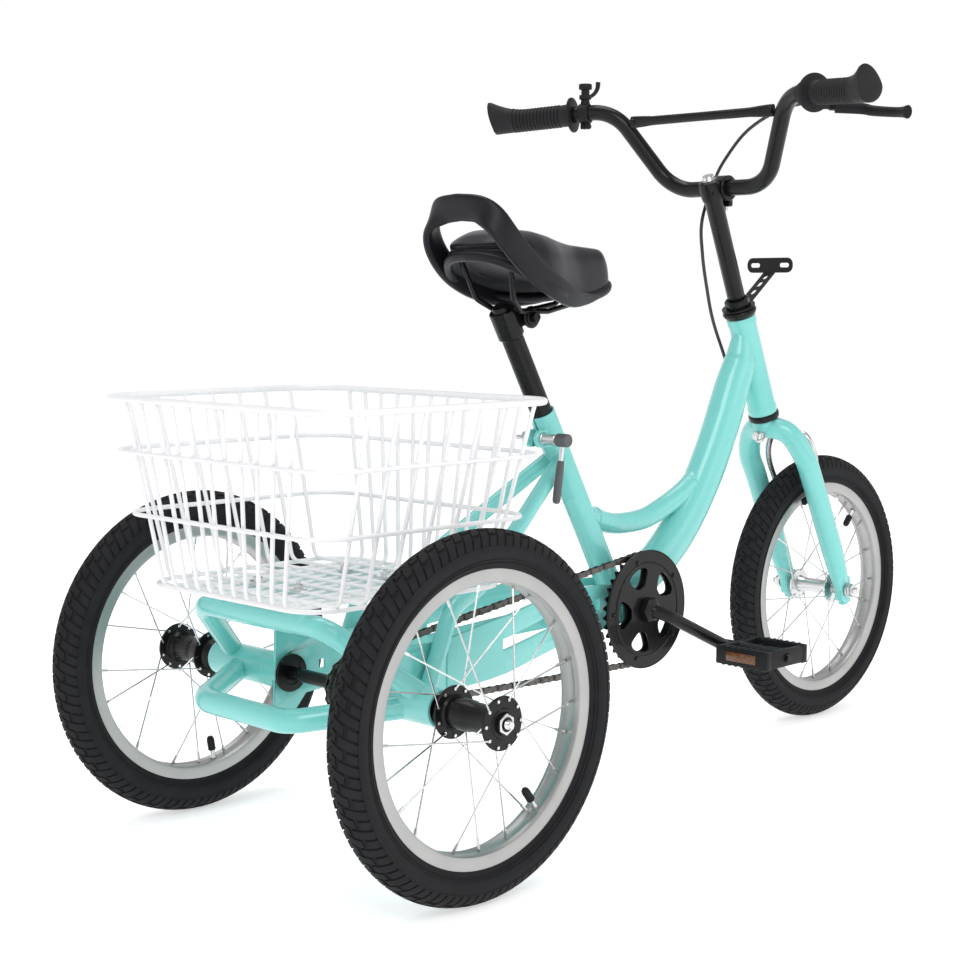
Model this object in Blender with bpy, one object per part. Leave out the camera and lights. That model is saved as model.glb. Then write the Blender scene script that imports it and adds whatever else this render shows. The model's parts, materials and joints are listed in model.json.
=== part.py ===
"""A small cargo tricycle: step-through frame, 16-inch wheels, wire basket, one-piece crank and chain drive.

Axes: +X forward, +Y to the rider's left, +Z up, with the ground at Z = 0. Points are given from the rear axle
forward and are moved by REAR_X, so that the whole tricycle is centred on X = 0. All values are metres.
"""

import math

import bmesh
import bpy
from mathutils import Matrix, Vector

# Driving dimensions
WHEELBASE = 0.975
WHEEL_R = 0.200
TRACK = 0.500
REAR_X = -WHEELBASE / 2
FRONT_X = WHEELBASE / 2
GAP = 0.0004
PLATE_JOINT = 0.128

TYRE_SECTION_R = 0.0225
TYRE_WALL = 0.004
RIM_OUTER_R = 0.1592
RIM_INNER_R = 0.143
RIM_HALF_WIDTH = 0.0149
SPOKES_PER_SIDE = 10
SPOKE_R = 0.001
RING_STEPS = 36

BB = (0.507, 0.228)
CRANK_LENGTH = 0.140
CRANK_ANGLE = math.radians(-26.8)
CRANK_R = 0.0085
PEDAL_Y = 0.152
CHAIN_Y = -0.046
CHAIN_HALF_WIDTH = 0.0035
CHAIN_HALF_HEIGHT = 0.004
CHAINRING_PITCH_R = 0.0729
SPROCKET_PITCH_R = 0.0325

HOUSING_R = 0.021
HOUSING_IN = 0.0632
HOUSING_OUT = 0.196
AXLE_R = 0.008

STEER_LEAN = math.radians(22.5)
STEER_UP = Vector((-math.sin(STEER_LEAN), 0, math.cos(STEER_LEAN)))
HEAD_TOP = (0.775, 0.612)
HEAD_LENGTH = 0.151
HEAD_R = 0.020
STEERER_R = 0.0143
QUILL_R = 0.0127

SEAT_LEAN = math.radians(29.5)
SEAT_UP = Vector((-math.sin(SEAT_LEAN), 0, math.cos(SEAT_LEAN)))
SEAT_TUBE_TOP = (0.361, 0.493)
SEAT_TUBE_R = 0.017
POST_R = 0.0141

BAR_CENTRE = (0.721, 0.790)
BAR_R = 0.0111
BAR_LEAN = math.radians(25.4)
BAR_FLAT = 0.082
BAR_SPREAD = 0.150
BAR_RISE = 0.126
BAR_SWEEP = (0.065, 0.172, 0.012)
GRIP_START = 0.33

for old in list(bpy.data.objects):
    bpy.data.objects.remove(old)

parts = bpy.data.collections.new("cargo_tricycle")
cutters = bpy.data.collections.new("cutters")
bpy.context.scene.collection.children.link(parts)
bpy.context.scene.collection.children.link(cutters)


def material(name, colour, roughness, metallic=0.0):
    """A Principled material with one colour."""
    made = bpy.data.materials.new(name)
    made.use_nodes = True
    shader = made.node_tree.nodes["Principled BSDF"]
    shader.inputs["Base Color"].default_value = (*colour, 1)
    shader.inputs["Roughness"].default_value = roughness
    shader.inputs["Metallic"].default_value = metallic
    return made


MINT = material("mint_paint", (0.28, 0.78, 0.68), 0.25)
BLACK_PAINT = material("black_paint", (0.015, 0.015, 0.017), 0.3)
TYRE_RUBBER = material("tyre_rubber", (0.03, 0.03, 0.032), 0.75)
RIM_SILVER = material("rim_silver", (0.75, 0.75, 0.76), 0.35, 1.0)
CHROME = material("chrome", (0.8, 0.8, 0.8), 0.12, 1.0)
WHITE_WIRE = material("white_coating", (0.9, 0.9, 0.91), 0.35)
BLACK_PLASTIC = material("black_plastic", (0.02, 0.02, 0.023), 0.5)
GREY_PLASTIC = material("grey_plastic", (0.12, 0.12, 0.13), 0.5)
SADDLE_SKIN = material("saddle_skin", (0.02, 0.02, 0.022), 0.55)
CHAIN_STEEL = material("chain_steel", (0.1, 0.1, 0.1), 0.4, 1.0)


def at(x, y, z):
    """The world point that lies x forward of the rear axle."""
    return Vector((REAR_X + x, y, z))


def on_line(point, direction, distance):
    """The world point at a distance from an (x, z) point on the centre plane, along a direction."""
    return at(point[0], 0, point[1]) + direction * distance


def add(name, mesh, finish, origin=None, collection=parts):
    """An object for a mesh in world coordinates, with its origin on its joint where one is given."""
    piece = bpy.data.objects.new(name, mesh)
    if origin is not None:
        mesh.transform(Matrix.Translation(-origin))
        piece.location = origin
    if finish is not None:
        mesh.materials.append(finish)
    mesh.shade_smooth()
    mesh.set_sharp_from_angle(angle=math.radians(35))
    collection.objects.link(piece)
    return piece


def mesh_of(build):
    """The mesh that a function fills in a new bmesh, with its faces pointing out."""
    form = bmesh.new()
    build(form)
    bmesh.ops.remove_doubles(form, verts=form.verts, dist=0.00002)
    bmesh.ops.recalc_face_normals(form, faces=form.faces)
    mesh = bpy.data.meshes.new("form")
    form.to_mesh(mesh)
    form.free()
    return mesh


def combined(first, others, operation):
    """The mesh of a Boolean of one mesh with others, one after the other."""
    base = bpy.data.objects.new("base", first)
    bpy.context.scene.collection.objects.link(base)
    tools = []
    for other in others:
        tool = bpy.data.objects.new("tool", other)
        tool.hide_render = True
        tool.display_type = "WIRE"
        cutters.objects.link(tool)
        modifier = base.modifiers.new("join", "BOOLEAN")
        modifier.operation = operation
        modifier.object = tool
        tools.append(tool)
    bpy.context.view_layer.update()
    graph = bpy.context.evaluated_depsgraph_get()
    mesh = bpy.data.meshes.new_from_object(base.evaluated_get(graph))
    for used in [base, *tools]:
        bpy.data.objects.remove(used)
    return mesh


def joined(first, *others):
    return combined(first, others, "UNION")


def cut(first, *others):
    return combined(first, others, "DIFFERENCE")


def turning(start, end):
    """The matrix that puts a Z cylinder's middle half way from start to end, and turns it along them."""
    along = end - start
    turn = along.to_track_quat("Z", "Y").to_matrix().to_4x4()
    return Matrix.Translation((start + end) / 2) @ turn


def rod(start, end, radius, end_radius=None, sides=20):
    """A straight round bar or cone."""
    def build(form):
        bmesh.ops.create_cone(
            form,
            cap_ends=True,
            segments=sides,
            radius1=radius,
            radius2=radius if end_radius is None else end_radius,
            depth=(end - start).length,
            matrix=turning(start, end),
        )
    return mesh_of(build)


def block(low, high):
    """A box between two corners."""
    def build(form):
        size = high - low
        matrix = Matrix.Translation((low + high) / 2) @ Matrix.Diagonal((*size, 1))
        bmesh.ops.create_cube(form, size=1, matrix=matrix)
    return mesh_of(build)


def turned(profile, centre, axis, steps=RING_STEPS):
    """A ring turned about an axis: the profile is a closed list of (radius, distance along the axis)."""
    def build(form):
        ring = [form.verts.new((radius, 0, along)) for radius, along in profile]
        edges = [form.edges.new((ring[i - 1], ring[i])) for i in range(len(ring))]
        bmesh.ops.spin(
            form,
            geom=ring + edges,
            cent=(0, 0, 0),
            axis=(0, 0, 1),
            angle=math.tau,
            steps=steps,
            use_merge=False,
        )
        turn = axis.to_track_quat("Z", "Y").to_matrix().to_4x4()
        bmesh.ops.transform(form, matrix=Matrix.Translation(centre) @ turn, verts=form.verts)
    return mesh_of(build)


def ring(inner, outer, start, end, steps=20):
    """A plain round ring between two points on its axis."""
    length = (end - start).length
    profile = [(inner, 0), (outer, 0), (outer, length), (inner, length)]
    return turned(profile, start, (end - start).normalized(), steps)


def rounded(corners, bend, steps=4):
    """The points of a route through corners, with each inner corner replaced by an arc of the bend radius."""
    route = [corners[0]]
    for before, corner, after in zip(corners, corners[1:], corners[2:]):
        into = (corner - before).normalized()
        out = (after - corner).normalized()
        turn = into.angle(out)
        if turn < 0.02:
            route.append(corner)
            continue
        reach = bend * math.tan(turn / 2)
        start = corner - into * reach
        side = (out - into * into.dot(out)).normalized()
        for step in range(steps + 1):
            a = turn * step / steps
            route.append(start + into * bend * math.sin(a) + side * bend * (1 - math.cos(a)))
    route.append(corners[-1])
    return route


def smooth(knots, per_span=4):
    """Points on a Catmull-Rom curve through the knots."""
    padded = [knots[0] * 2 - knots[1], *knots, knots[-1] * 2 - knots[-2]]
    route = []
    for a, b, c, d in zip(padded, padded[1:], padded[2:], padded[3:]):
        for step in range(per_span):
            t = step / per_span
            route.append(
                (b * 2 + (c - a) * t + (a * 2 - b * 5 + c * 4 - d) * t**2 + (b * 3 - a - c * 3 + d) * t**3) / 2
            )
    route.append(knots[-1])
    return route


def pipe(route, radius, fineness=3, thickness=None):
    """A bent round bar: a curve with a bevel, made a mesh with welded caps."""
    curve = bpy.data.curves.new("route", "CURVE")
    curve.dimensions = "3D"
    curve.bevel_depth = radius
    curve.bevel_resolution = fineness
    curve.use_fill_caps = True
    spline = curve.splines.new("POLY")
    spline.points.add(len(route) - 1)
    for i, (point, place) in enumerate(zip(spline.points, route)):
        point.co = (*place, 1)
        point.radius = thickness[i] if thickness else 1
    guide = bpy.data.objects.new("guide", curve)
    bpy.context.scene.collection.objects.link(guide)
    bpy.context.view_layer.update()
    graph = bpy.context.evaluated_depsgraph_get()
    raw = bpy.data.meshes.new_from_object(guide.evaluated_get(graph))
    bpy.data.objects.remove(guide)
    return mesh_of(lambda form: form.from_mesh(raw))


def loft(rings):
    """A closed skin over rings that all have the same number of points."""
    def build(form):
        rows = [[form.verts.new(point) for point in points] for points in rings]
        for low, high in zip(rows, rows[1:]):
            for i in range(len(low)):
                form.faces.new((low[i - 1], low[i], high[i], high[i - 1]))
        form.faces.new(rows[0])
        form.faces.new(rows[-1])
    return mesh_of(build)


def band(route, half_height, half_thickness, upright, sides=10):
    """An oval bar along a route, with its longer axis turned towards the upright direction."""
    rings = []
    for i, point in enumerate(route):
        along = (route[min(i + 1, len(route) - 1)] - route[max(i - 1, 0)]).normalized()
        tall = (upright - along * upright.dot(along)).normalized()
        flat = along.cross(tall)
        rings.append([
            point
            + tall * half_height * math.sin(math.tau * k / sides)
            + flat * half_thickness * math.cos(math.tau * k / sides)
            for k in range(sides)
        ])
    return loft(rings)


def plate(outline, low_y, high_y, holes=()):
    """A flat plate in the side view: (x, z) outlines, with holes, extruded between two Y values."""
    curve = bpy.data.curves.new("outline", "CURVE")
    curve.dimensions = "2D"
    curve.fill_mode = "BOTH"
    curve.extrude = abs(high_y - low_y) / 2
    for points in (outline, *holes):
        spline = curve.splines.new("POLY")
        spline.points.add(len(points) - 1)
        spline.use_cyclic_u = True
        for point, (x, z) in zip(spline.points, points):
            point.co = (REAR_X + x, z, 0, 1)
    guide = bpy.data.objects.new("guide", curve)
    bpy.context.scene.collection.objects.link(guide)
    bpy.context.view_layer.update()
    graph = bpy.context.evaluated_depsgraph_get()
    raw = bpy.data.meshes.new_from_object(guide.evaluated_get(graph))
    bpy.data.objects.remove(guide)
    raw.transform(
        Matrix.Translation((0, (low_y + high_y) / 2, 0)) @ Matrix.Rotation(math.pi / 2, 4, "X")
    )
    return mesh_of(lambda form: form.from_mesh(raw))


def circle(centre, radius, count=16, phase=0.0):
    """(x, z) points round a circle."""
    return [
        (
            centre[0] + radius * math.cos(math.tau * k / count + phase),
            centre[1] + radius * math.sin(math.tau * k / count + phase),
        )
        for k in range(count)
    ]


ACROSS = Vector((0, 1, 0))
UP = Vector((0, 0, 1))


# ---- Wheels ----------------------------------------------------------------------------------------------

def tyre(name, centre):
    """A tyre casing with open beads, so that it is a C in section."""
    ring_r = WHEEL_R - TYRE_SECTION_R
    opening = math.radians(50)
    outer = []
    inner = []
    for k in range(9):
        a = opening + (math.tau - 2 * opening) * k / 8
        outer.append((ring_r - TYRE_SECTION_R * math.cos(a), TYRE_SECTION_R * math.sin(a)))
    for k in range(6):
        a = opening + (math.tau - 2 * opening) * k / 5
        reach = TYRE_SECTION_R - TYRE_WALL
        inner.append((ring_r - reach * math.cos(a), reach * math.sin(a)))
    add(name, turned(outer + inner[::-1], centre, ACROSS), TYRE_RUBBER, centre)


def rim(name, centre):
    """A single-wall rim with a well between its flanges."""
    w = RIM_HALF_WIDTH
    half = [(RIM_INNER_R, 0.009), (0.146, w), (RIM_OUTER_R, w), (RIM_OUTER_R, 0.0125), (0.152, 0.011)]
    profile = half + [(radius, -y) for radius, y in half[::-1]]
    add(name, turned(profile, centre, ACROSS), RIM_SILVER, centre)


def hub(name, centre, profile, flanges, flange_r, finish, out=1):
    """A turned hub with the spokes of both flanges, as one piece."""
    spokes = bmesh.new()
    for side, flange_y in enumerate(flanges):
        for k in range(SPOKES_PER_SIDE):
            a = math.tau * (k + side / 2) / SPOKES_PER_SIDE
            lean = math.radians(14 if k % 2 else -14)
            near = Vector((flange_r * math.cos(a), flange_y, flange_r * math.sin(a)))
            far_r = RIM_INNER_R - 0.0015
            rim_y = 0.002 if flange_y > 0 else -0.002
            far = Vector((far_r * math.cos(a + lean), rim_y, far_r * math.sin(a + lean)))
            bmesh.ops.create_cone(
                spokes,
                cap_ends=True,
                segments=4,
                radius1=SPOKE_R * 1.2,
                radius2=SPOKE_R * 1.2,
                depth=(far - near).length,
                matrix=turning(near, far),
            )
    bmesh.ops.transform(spokes, matrix=Matrix.Translation(centre), verts=spokes.verts)
    wires = bpy.data.meshes.new("spokes")
    spokes.to_mesh(wires)
    spokes.free()
    body = turned([(r, out * y) for r, y in profile], centre, ACROSS, 20)
    add(name, joined(body, wires), finish, centre)


# Distances along the axle from the wheel's middle plane, outwards: the inner collar, flange, barrel, flange.
REAR_HUB = [
    (0.0085, -0.051), (0.0150, -0.051), (0.0205, -0.040), (0.0205, -0.0375), (0.0290, -0.0375),
    (0.0290, -0.0345), (0.0175, -0.033), (0.0155, 0.012), (0.0165, 0.0325), (0.0290, 0.034),
    (0.0290, 0.037), (0.0150, 0.039), (0.0120, 0.043), (0.0085, 0.043),
]
FRONT_HUB = [
    (0.0053, -0.0395), (0.0075, -0.0395), (0.0080, -0.033), (0.0225, -0.0315), (0.0225, -0.0285),
    (0.0120, -0.026), (0.0105, 0.0), (0.0120, 0.026), (0.0225, 0.0285), (0.0225, 0.0315),
    (0.0080, 0.033), (0.0075, 0.0395), (0.0053, 0.0395),
]


def wheels():
    right = Vector((REAR_X, -TRACK / 2, WHEEL_R))
    left = Vector((REAR_X, TRACK / 2, WHEEL_R))
    front = Vector((FRONT_X, 0, WHEEL_R))
    for side, centre in (("rear_right", right), ("rear_left", left), ("front", front)):
        tyre(f"tyre_{side}", centre)
        rim(f"rim_{side}", centre)
    hub("hub_rear_right", right, REAR_HUB, (0.0355, -0.036), 0.0255, BLACK_PAINT, -1)
    hub("hub_rear_left", left, REAR_HUB, (-0.036, 0.0355), 0.0255, BLACK_PAINT)
    hub("hub_front", front, FRONT_HUB, (0.030, -0.030), 0.0195, CHROME)
    end = TRACK / 2 + 0.050
    shoulder = TRACK / 2 + 0.0435
    half = [(AXLE_R, shoulder), (0.0105, shoulder), (0.0105, end - 0.003), (0.005, end - 0.003), (0.005, end)]
    profile = [(0, -end)] + [(r, -y) for r, y in half[::-1]] + half + [(0, end)]
    axle = turned(profile, Vector((REAR_X, 0, WHEEL_R)), ACROSS, 16)
    add("rear_axle", axle, BLACK_PAINT, Vector((REAR_X, 0, WHEEL_R)))
    half = [(0.0047, 0.0600), (0.0095, 0.0600), (0.0095, 0.0625), (0.0078, 0.0625), (0.0078, 0.0710)]
    half += [(0.0047, 0.0710), (0.0047, 0.0800)]
    profile = [(0, -0.080)] + [(r, -y) for r, y in half[::-1]] + half + [(0, 0.080)]
    add("front_axle", turned(profile, front, ACROSS, 12), CHROME, front)


# ---- Rear frame ------------------------------------------------------------------------------------------

def housing_cutter():
    """The round space that the axle housings take."""
    end = Vector((REAR_X, HOUSING_OUT + 0.02, WHEEL_R))
    return rod(Vector((REAR_X, -end.y, WHEEL_R)), end, HOUSING_R + GAP, sides=24)


def rear_frame():
    for side, sign in (("left", 1), ("right", -1)):
        start = Vector((REAR_X, sign * HOUSING_IN, WHEEL_R))
        end = Vector((REAR_X, sign * HOUSING_OUT, WHEEL_R))
        add(f"axle_housing_{side}", ring(0.018, HOUSING_R, start, end, 24), MINT)
        outline = [
            (-0.022, 0.150), (0.006, 0.150), (0.026, 0.172), (PLATE_JOINT, 0.178), (PLATE_JOINT, 0.240),
            (0.040, 0.240), (0.018, 0.262), (-0.018, 0.262),
        ]
        window = [(0.046, 0.198), (0.056, 0.198), (0.056, 0.209), (0.046, 0.209)]
        holes = [circle((0, WHEEL_R), HOUSING_R + 0.0008, 24), window]
        add(f"side_plate_{side}", plate(outline, sign * 0.065, sign * 0.069, holes), MINT)
        face = Vector((REAR_X, sign * 0.0585, WHEEL_R))
        profile = [
            (AXLE_R + 0.0006, 0), (0.0225, 0), (0.0225, 0.0042), (0.0172, 0.0042), (0.0172, 0.0150),
            (AXLE_R + 0.0006, 0.0150),
        ]
        add(f"axle_bearing_{side}", turned(profile, face, ACROSS * sign, 24), BLACK_PAINT)
    space = housing_cutter()
    upper = [
        at(-0.004, 0.165, 0.212), at(-0.090, 0.110, 0.287), at(-0.090, -0.110, 0.287), at(-0.004, -0.165, 0.212)
    ]
    add("rack_hoop", cut(pipe(rounded(upper, 0.030), 0.0125), space), MINT)
    lower = [
        at(0, 0.152, 0.197), at(-0.116, 0.076, 0.184), at(-0.116, -0.076, 0.184), at(0, -0.152, 0.197)
    ]
    add("bumper_hoop", cut(pipe(rounded(lower, 0.035), 0.0135), space.copy()), MINT)
    platform = block(at(-0.096, -0.058, 0.3005), at(0.150, 0.058, 0.3035))
    slots = [block(at(x, -0.042, 0.29), at(x + 0.022, 0.042, 0.31)) for x in (-0.062, -0.022, 0.030, 0.085)]
    add("rack_platform", cut(platform, *slots), MINT)


def stay_section(sign):
    """One bent flat chainstay: its plan view band crossed with its side view outline."""
    outline = [
        (PLATE_JOINT + GAP, 0.178), (0.200, 0.182), (0.350, 0.200), (0.505, 0.210), (0.505, 0.262),
        (0.350, 0.270), (0.200, 0.252), (PLATE_JOINT + GAP, 0.240),
    ]
    window = [(0.222, 0.214), (0.360, 0.229), (0.438, 0.232), (0.438, 0.247), (0.350, 0.246), (0.222, 0.228)]
    side_view = plate(outline, sign * 0.015, sign * 0.090, [window])
    path = [(0.120, 0.067), (0.230, 0.067), (0.410, 0.033), (0.510, 0.028)]
    inner = [at(x, sign * (y - 0.003), 0.150) for x, y in path]
    outer = [at(x, sign * (y + 0.003), 0.150) for x, y in path[::-1]]
    floor = inner + outer
    roof = [point + UP * 0.2 for point in floor]
    return combined(loft([floor, roof]), [side_view], "INTERSECT")


def main_frame():
    bb = at(BB[0], 0, BB[1])
    head_top = at(HEAD_TOP[0], 0, HEAD_TOP[1])
    head_low = head_top - STEER_UP * HEAD_LENGTH
    add("head_tube", ring(0.0165, HEAD_R, head_low, head_top, 24), MINT)
    head_space = rod(head_low - STEER_UP * 0.03, head_top + STEER_UP * 0.03, HEAD_R + GAP, sides=24)
    shell = ring(CRANK_R + 0.0012, 0.024, bb - ACROSS * 0.034, bb + ACROSS * 0.034, 24)
    add("bottom_bracket", shell, MINT)
    bb_space = rod(bb - ACROSS * 0.05, bb + ACROSS * 0.05, 0.024 + GAP, sides=24)

    seat_top = at(SEAT_TUBE_TOP[0], 0, SEAT_TUBE_TOP[1])
    seat_low = seat_top - SEAT_UP * 0.300
    ear_centre = seat_top - SEAT_UP * 0.024 + Vector((-0.021, 0, -0.012))
    ears = [
        block(ear_centre + Vector((-0.011, y - 0.003, -0.011)), ear_centre + Vector((0.014, y + 0.003, 0.011)))
        for y in (-0.009, 0.009)
    ]
    tube = joined(rod(seat_low, seat_top, SEAT_TUBE_R, sides=24), *ears)
    bore = rod(seat_top - SEAT_UP * 0.215, seat_top + SEAT_UP * 0.01, POST_R + 0.0007, sides=24)
    split = block(seat_top + Vector((-0.060, -0.0015, -0.055)), seat_top + Vector((-0.0, 0.0015, 0.020)))
    bolt_hole = rod(ear_centre - ACROSS * 0.03, ear_centre + ACROSS * 0.03, 0.0032, sides=12)
    add("seat_tube", cut(tube, bore, split, bolt_hole, bb_space), MINT)
    seat_space = rod(seat_low - SEAT_UP * 0.03, seat_top + SEAT_UP * 0.01, SEAT_TUBE_R + GAP, sides=24)

    down = smooth([
        at(0.790, 0, 0.552), at(0.760, 0, 0.512), at(0.728, 0, 0.446), at(0.690, 0, 0.380), at(0.645, 0, 0.322),
        at(0.590, 0, 0.275), at(0.520, 0, 0.238),
    ], 2)
    normal = Vector((-0.7, 0, 0.7))
    tube = band(down, 0.029, 0.0235, normal, 16)
    down_space = band(down, 0.029 + GAP, 0.0235 + GAP, normal, 16)
    add("down_tube", cut(tube, head_space, bb_space.copy(), seat_space), MINT)

    step = smooth([
        at(0.450, 0, 0.352), at(0.500, 0, 0.338), at(0.558, 0, 0.338), at(0.600, 0, 0.349), at(0.650, 0, 0.370),
        at(0.700, 0, 0.400),
    ], 2)
    add("step_tube", cut(pipe(step, 0.0143), seat_space.copy(), down_space), MINT)

    for side, sign in (("left", 1), ("right", -1)):
        stay = [
            at(0.385, sign * 0.0108, 0.430), at(0.190, sign * 0.064, 0.297), at(0.125, sign * 0.0797, 0.279),
            at(0.088, sign * 0.0797, 0.190),
        ]
        add(f"seat_stay_{side}", cut(pipe(rounded(stay, 0.040), 0.0102), seat_space.copy()), MINT)
        add(f"chainstay_{side}", cut(stay_section(sign), bb_space.copy(), seat_space.copy()), MINT)

    skewer = joined(
        rod(ear_centre - ACROSS * 0.050, ear_centre + ACROSS * 0.034, 0.0028, sides=12),
        rod(ear_centre - ACROSS * 0.036, ear_centre - ACROSS * 0.0125, 0.0075, sides=16),
        rod(ear_centre + ACROSS * 0.0125, ear_centre + ACROSS * 0.020, 0.0070, sides=6),
    )
    add("seat_skewer", skewer, CHROME)
    pivot = ear_centre - ACROSS * 0.046
    tip = pivot + Vector((0.001, 0.012, -0.080))
    lever = joined(
        rod(ear_centre - ACROSS * 0.0555, ear_centre - ACROSS * 0.0375, 0.0085, sides=16),
        pipe([pivot + Vector((0, 0, -0.004)), pivot.lerp(tip, 0.4), tip], 0.0048, 2),
    )
    slot = rod(ear_centre - ACROSS * 0.0515, ear_centre - ACROSS * 0.036, 0.0034, sides=12)
    add("seat_lever", cut(lever, slot), GREY_PLASTIC, pivot)


def basket():
    """The basket's true outer shape as an open tub, tapered to its floor."""
    def loop(x0, x1, w, z, r, inset):
        points = []
        for cx, cy, quarter in (
            (x1 - r, w - r, 0), (x0 + r, w - r, 1), (x0 + r, -w + r, 2), (x1 - r, -w + r, 3)
        ):
            for k in range(4):
                a = math.pi / 2 * (quarter + k / 3)
                reach = r - inset
                points.append(at(cx + reach * math.cos(a), cy + reach * math.sin(a), z))
        return points
    wall = 0.003
    bottom = (-0.150, 0.160, 0.158)
    top = (-0.168, 0.173, 0.218)
    rings = [
        loop(*bottom, 0.310, 0.045, 0),
        loop(*top, 0.528, 0.050, 0),
        loop(*top, 0.528, 0.050, wall),
        loop(*bottom, 0.310 + wall, 0.045, wall),
    ]
    add("basket", loft(rings), WHITE_WIRE)


# ---- Drive -----------------------------------------------------------------------------------------------

def chain_loop(offset):
    """The outline round both sprockets at a distance outside their pitch circles."""
    centres = ((0, WHEEL_R), BB)
    radii = (SPROCKET_PITCH_R + offset, CHAINRING_PITCH_R + offset)
    run = math.atan2(BB[1] - WHEEL_R, BB[0])
    lean = math.asin((radii[1] - radii[0]) / math.hypot(BB[0], BB[1] - WHEEL_R))
    low = run - math.pi / 2 - lean
    high = run + math.pi / 2 + lean
    points = []
    for k in range(17):
        a = low + (high - low) * k / 16
        points.append((centres[1][0] + radii[1] * math.cos(a), centres[1][1] + radii[1] * math.sin(a)))
    for k in range(11):
        a = high + (math.tau + low - high) * k / 10
        points.append((centres[0][0] + radii[0] * math.cos(a), centres[0][1] + radii[0] * math.sin(a)))
    return points


def pedal(name, sign, centre):
    """A platform pedal: a rectangular frame round a centre tube that turns on the crank's spindle."""
    half_x, half_y, half_z = 0.046, 0.042, 0.0125
    body = block(centre - Vector((half_x, half_y, half_z)), centre + Vector((half_x, half_y, half_z)))
    windows = [
        block(
            centre + Vector((x - 0.0125, -0.033, -0.03)),
            centre + Vector((x + 0.0125, 0.033, 0.03)),
        )
        for x in (-0.0245, 0.0245)
    ]
    spindle = rod(centre - ACROSS * 0.05, centre + ACROSS * 0.05, 0.0066, sides=16)
    add(name, cut(body, *windows, spindle), BLACK_PLASTIC, centre)


def drive():
    bb = at(BB[0], 0, BB[1])
    half = CHAIN_HALF_WIDTH
    outer = chain_loop(CHAIN_HALF_HEIGHT)
    inner = chain_loop(-CHAIN_HALF_HEIGHT)
    add("chain", plate(outer, CHAIN_Y - half, CHAIN_Y + half, [inner]), CHAIN_STEEL)

    rear = Vector((REAR_X, 0, WHEEL_R))
    tooth = SPROCKET_PITCH_R - CHAIN_HALF_HEIGHT - 0.0008
    body = [
        (AXLE_R + 0.0006, -0.050), (0.020, -0.050), (0.020, CHAIN_Y - 0.0015), (tooth, CHAIN_Y - 0.0015),
        (tooth, CHAIN_Y + 0.0015), (0.022, CHAIN_Y + 0.0015), (0.022, -0.030), (AXLE_R + 0.0006, -0.030),
    ]
    add("rear_sprocket", turned(body, rear, ACROSS, 24), CHAIN_STEEL, rear)

    tooth = CHAINRING_PITCH_R - CHAIN_HALF_HEIGHT - 0.0008
    bore = CRANK_R + 0.0006
    windows = []
    for k in range(3):
        start = math.tau * k / 3 + math.radians(20)
        arc = [start + math.radians(80) * j / 4 for j in range(5)]
        window = [(BB[0] + 0.052 * math.cos(a), BB[1] + 0.052 * math.sin(a)) for a in arc]
        window += [(BB[0] + 0.030 * math.cos(a), BB[1] + 0.030 * math.sin(a)) for a in arc[::-1]]
        windows.append(window)
    wheel = rod(bb + ACROSS * (CHAIN_Y - 0.0015), bb + ACROSS * (CHAIN_Y + 0.0015), tooth, sides=36)
    guard = rod(bb + ACROSS * -0.0570, bb + ACROSS * -0.0545, 0.0785, sides=36)
    boss = rod(bb + ACROSS * -0.0565, bb + ACROSS * -0.0450, 0.022, sides=20)
    hole = rod(bb + ACROSS * -0.0700, bb + ACROSS * -0.0300, bore, sides=20)
    spaces = [plate(window, -0.0700, -0.0300) for window in windows]
    add("chainring", cut(joined(wheel, boss, guard), hole, *spaces), BLACK_PAINT, bb)

    reach = Vector((math.cos(CRANK_ANGLE), 0, math.sin(CRANK_ANGLE))) * CRANK_LENGTH
    right_eye = bb + reach - ACROSS * 0.097
    left_eye = bb - reach + ACROSS * 0.097
    route = [
        right_eye + reach.normalized() * 0.006, bb + reach * 0.16 - ACROSS * 0.080, bb - ACROSS * 0.066,
        bb + ACROSS * 0.066, bb - reach * 0.16 + ACROSS * 0.080, left_eye - reach.normalized() * 0.006,
    ]
    spindles = [
        rod(right_eye + ACROSS * 0.005, right_eye - ACROSS * 0.094, 0.0060, sides=12),
        rod(left_eye - ACROSS * 0.005, left_eye + ACROSS * 0.094, 0.0060, sides=12),
    ]
    nut = rod(bb - ACROSS * 0.0690, bb - ACROSS * 0.0580, 0.017, sides=16)
    add("one_piece_crank", joined(pipe(rounded(route, 0.012), CRANK_R), nut, *spindles), BLACK_PAINT, bb)
    for side, sign, eye in (("right", -1, right_eye), ("left", 1, left_eye)):
        pedal(f"pedal_{side}", sign, Vector((eye.x, sign * PEDAL_Y, eye.z)))


# ---- Steering --------------------------------------------------------------------------------------------

def along_head(distance):
    """A point on the steering axis, measured up from the top of the head tube."""
    return on_line(HEAD_TOP, STEER_UP, distance)


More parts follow.
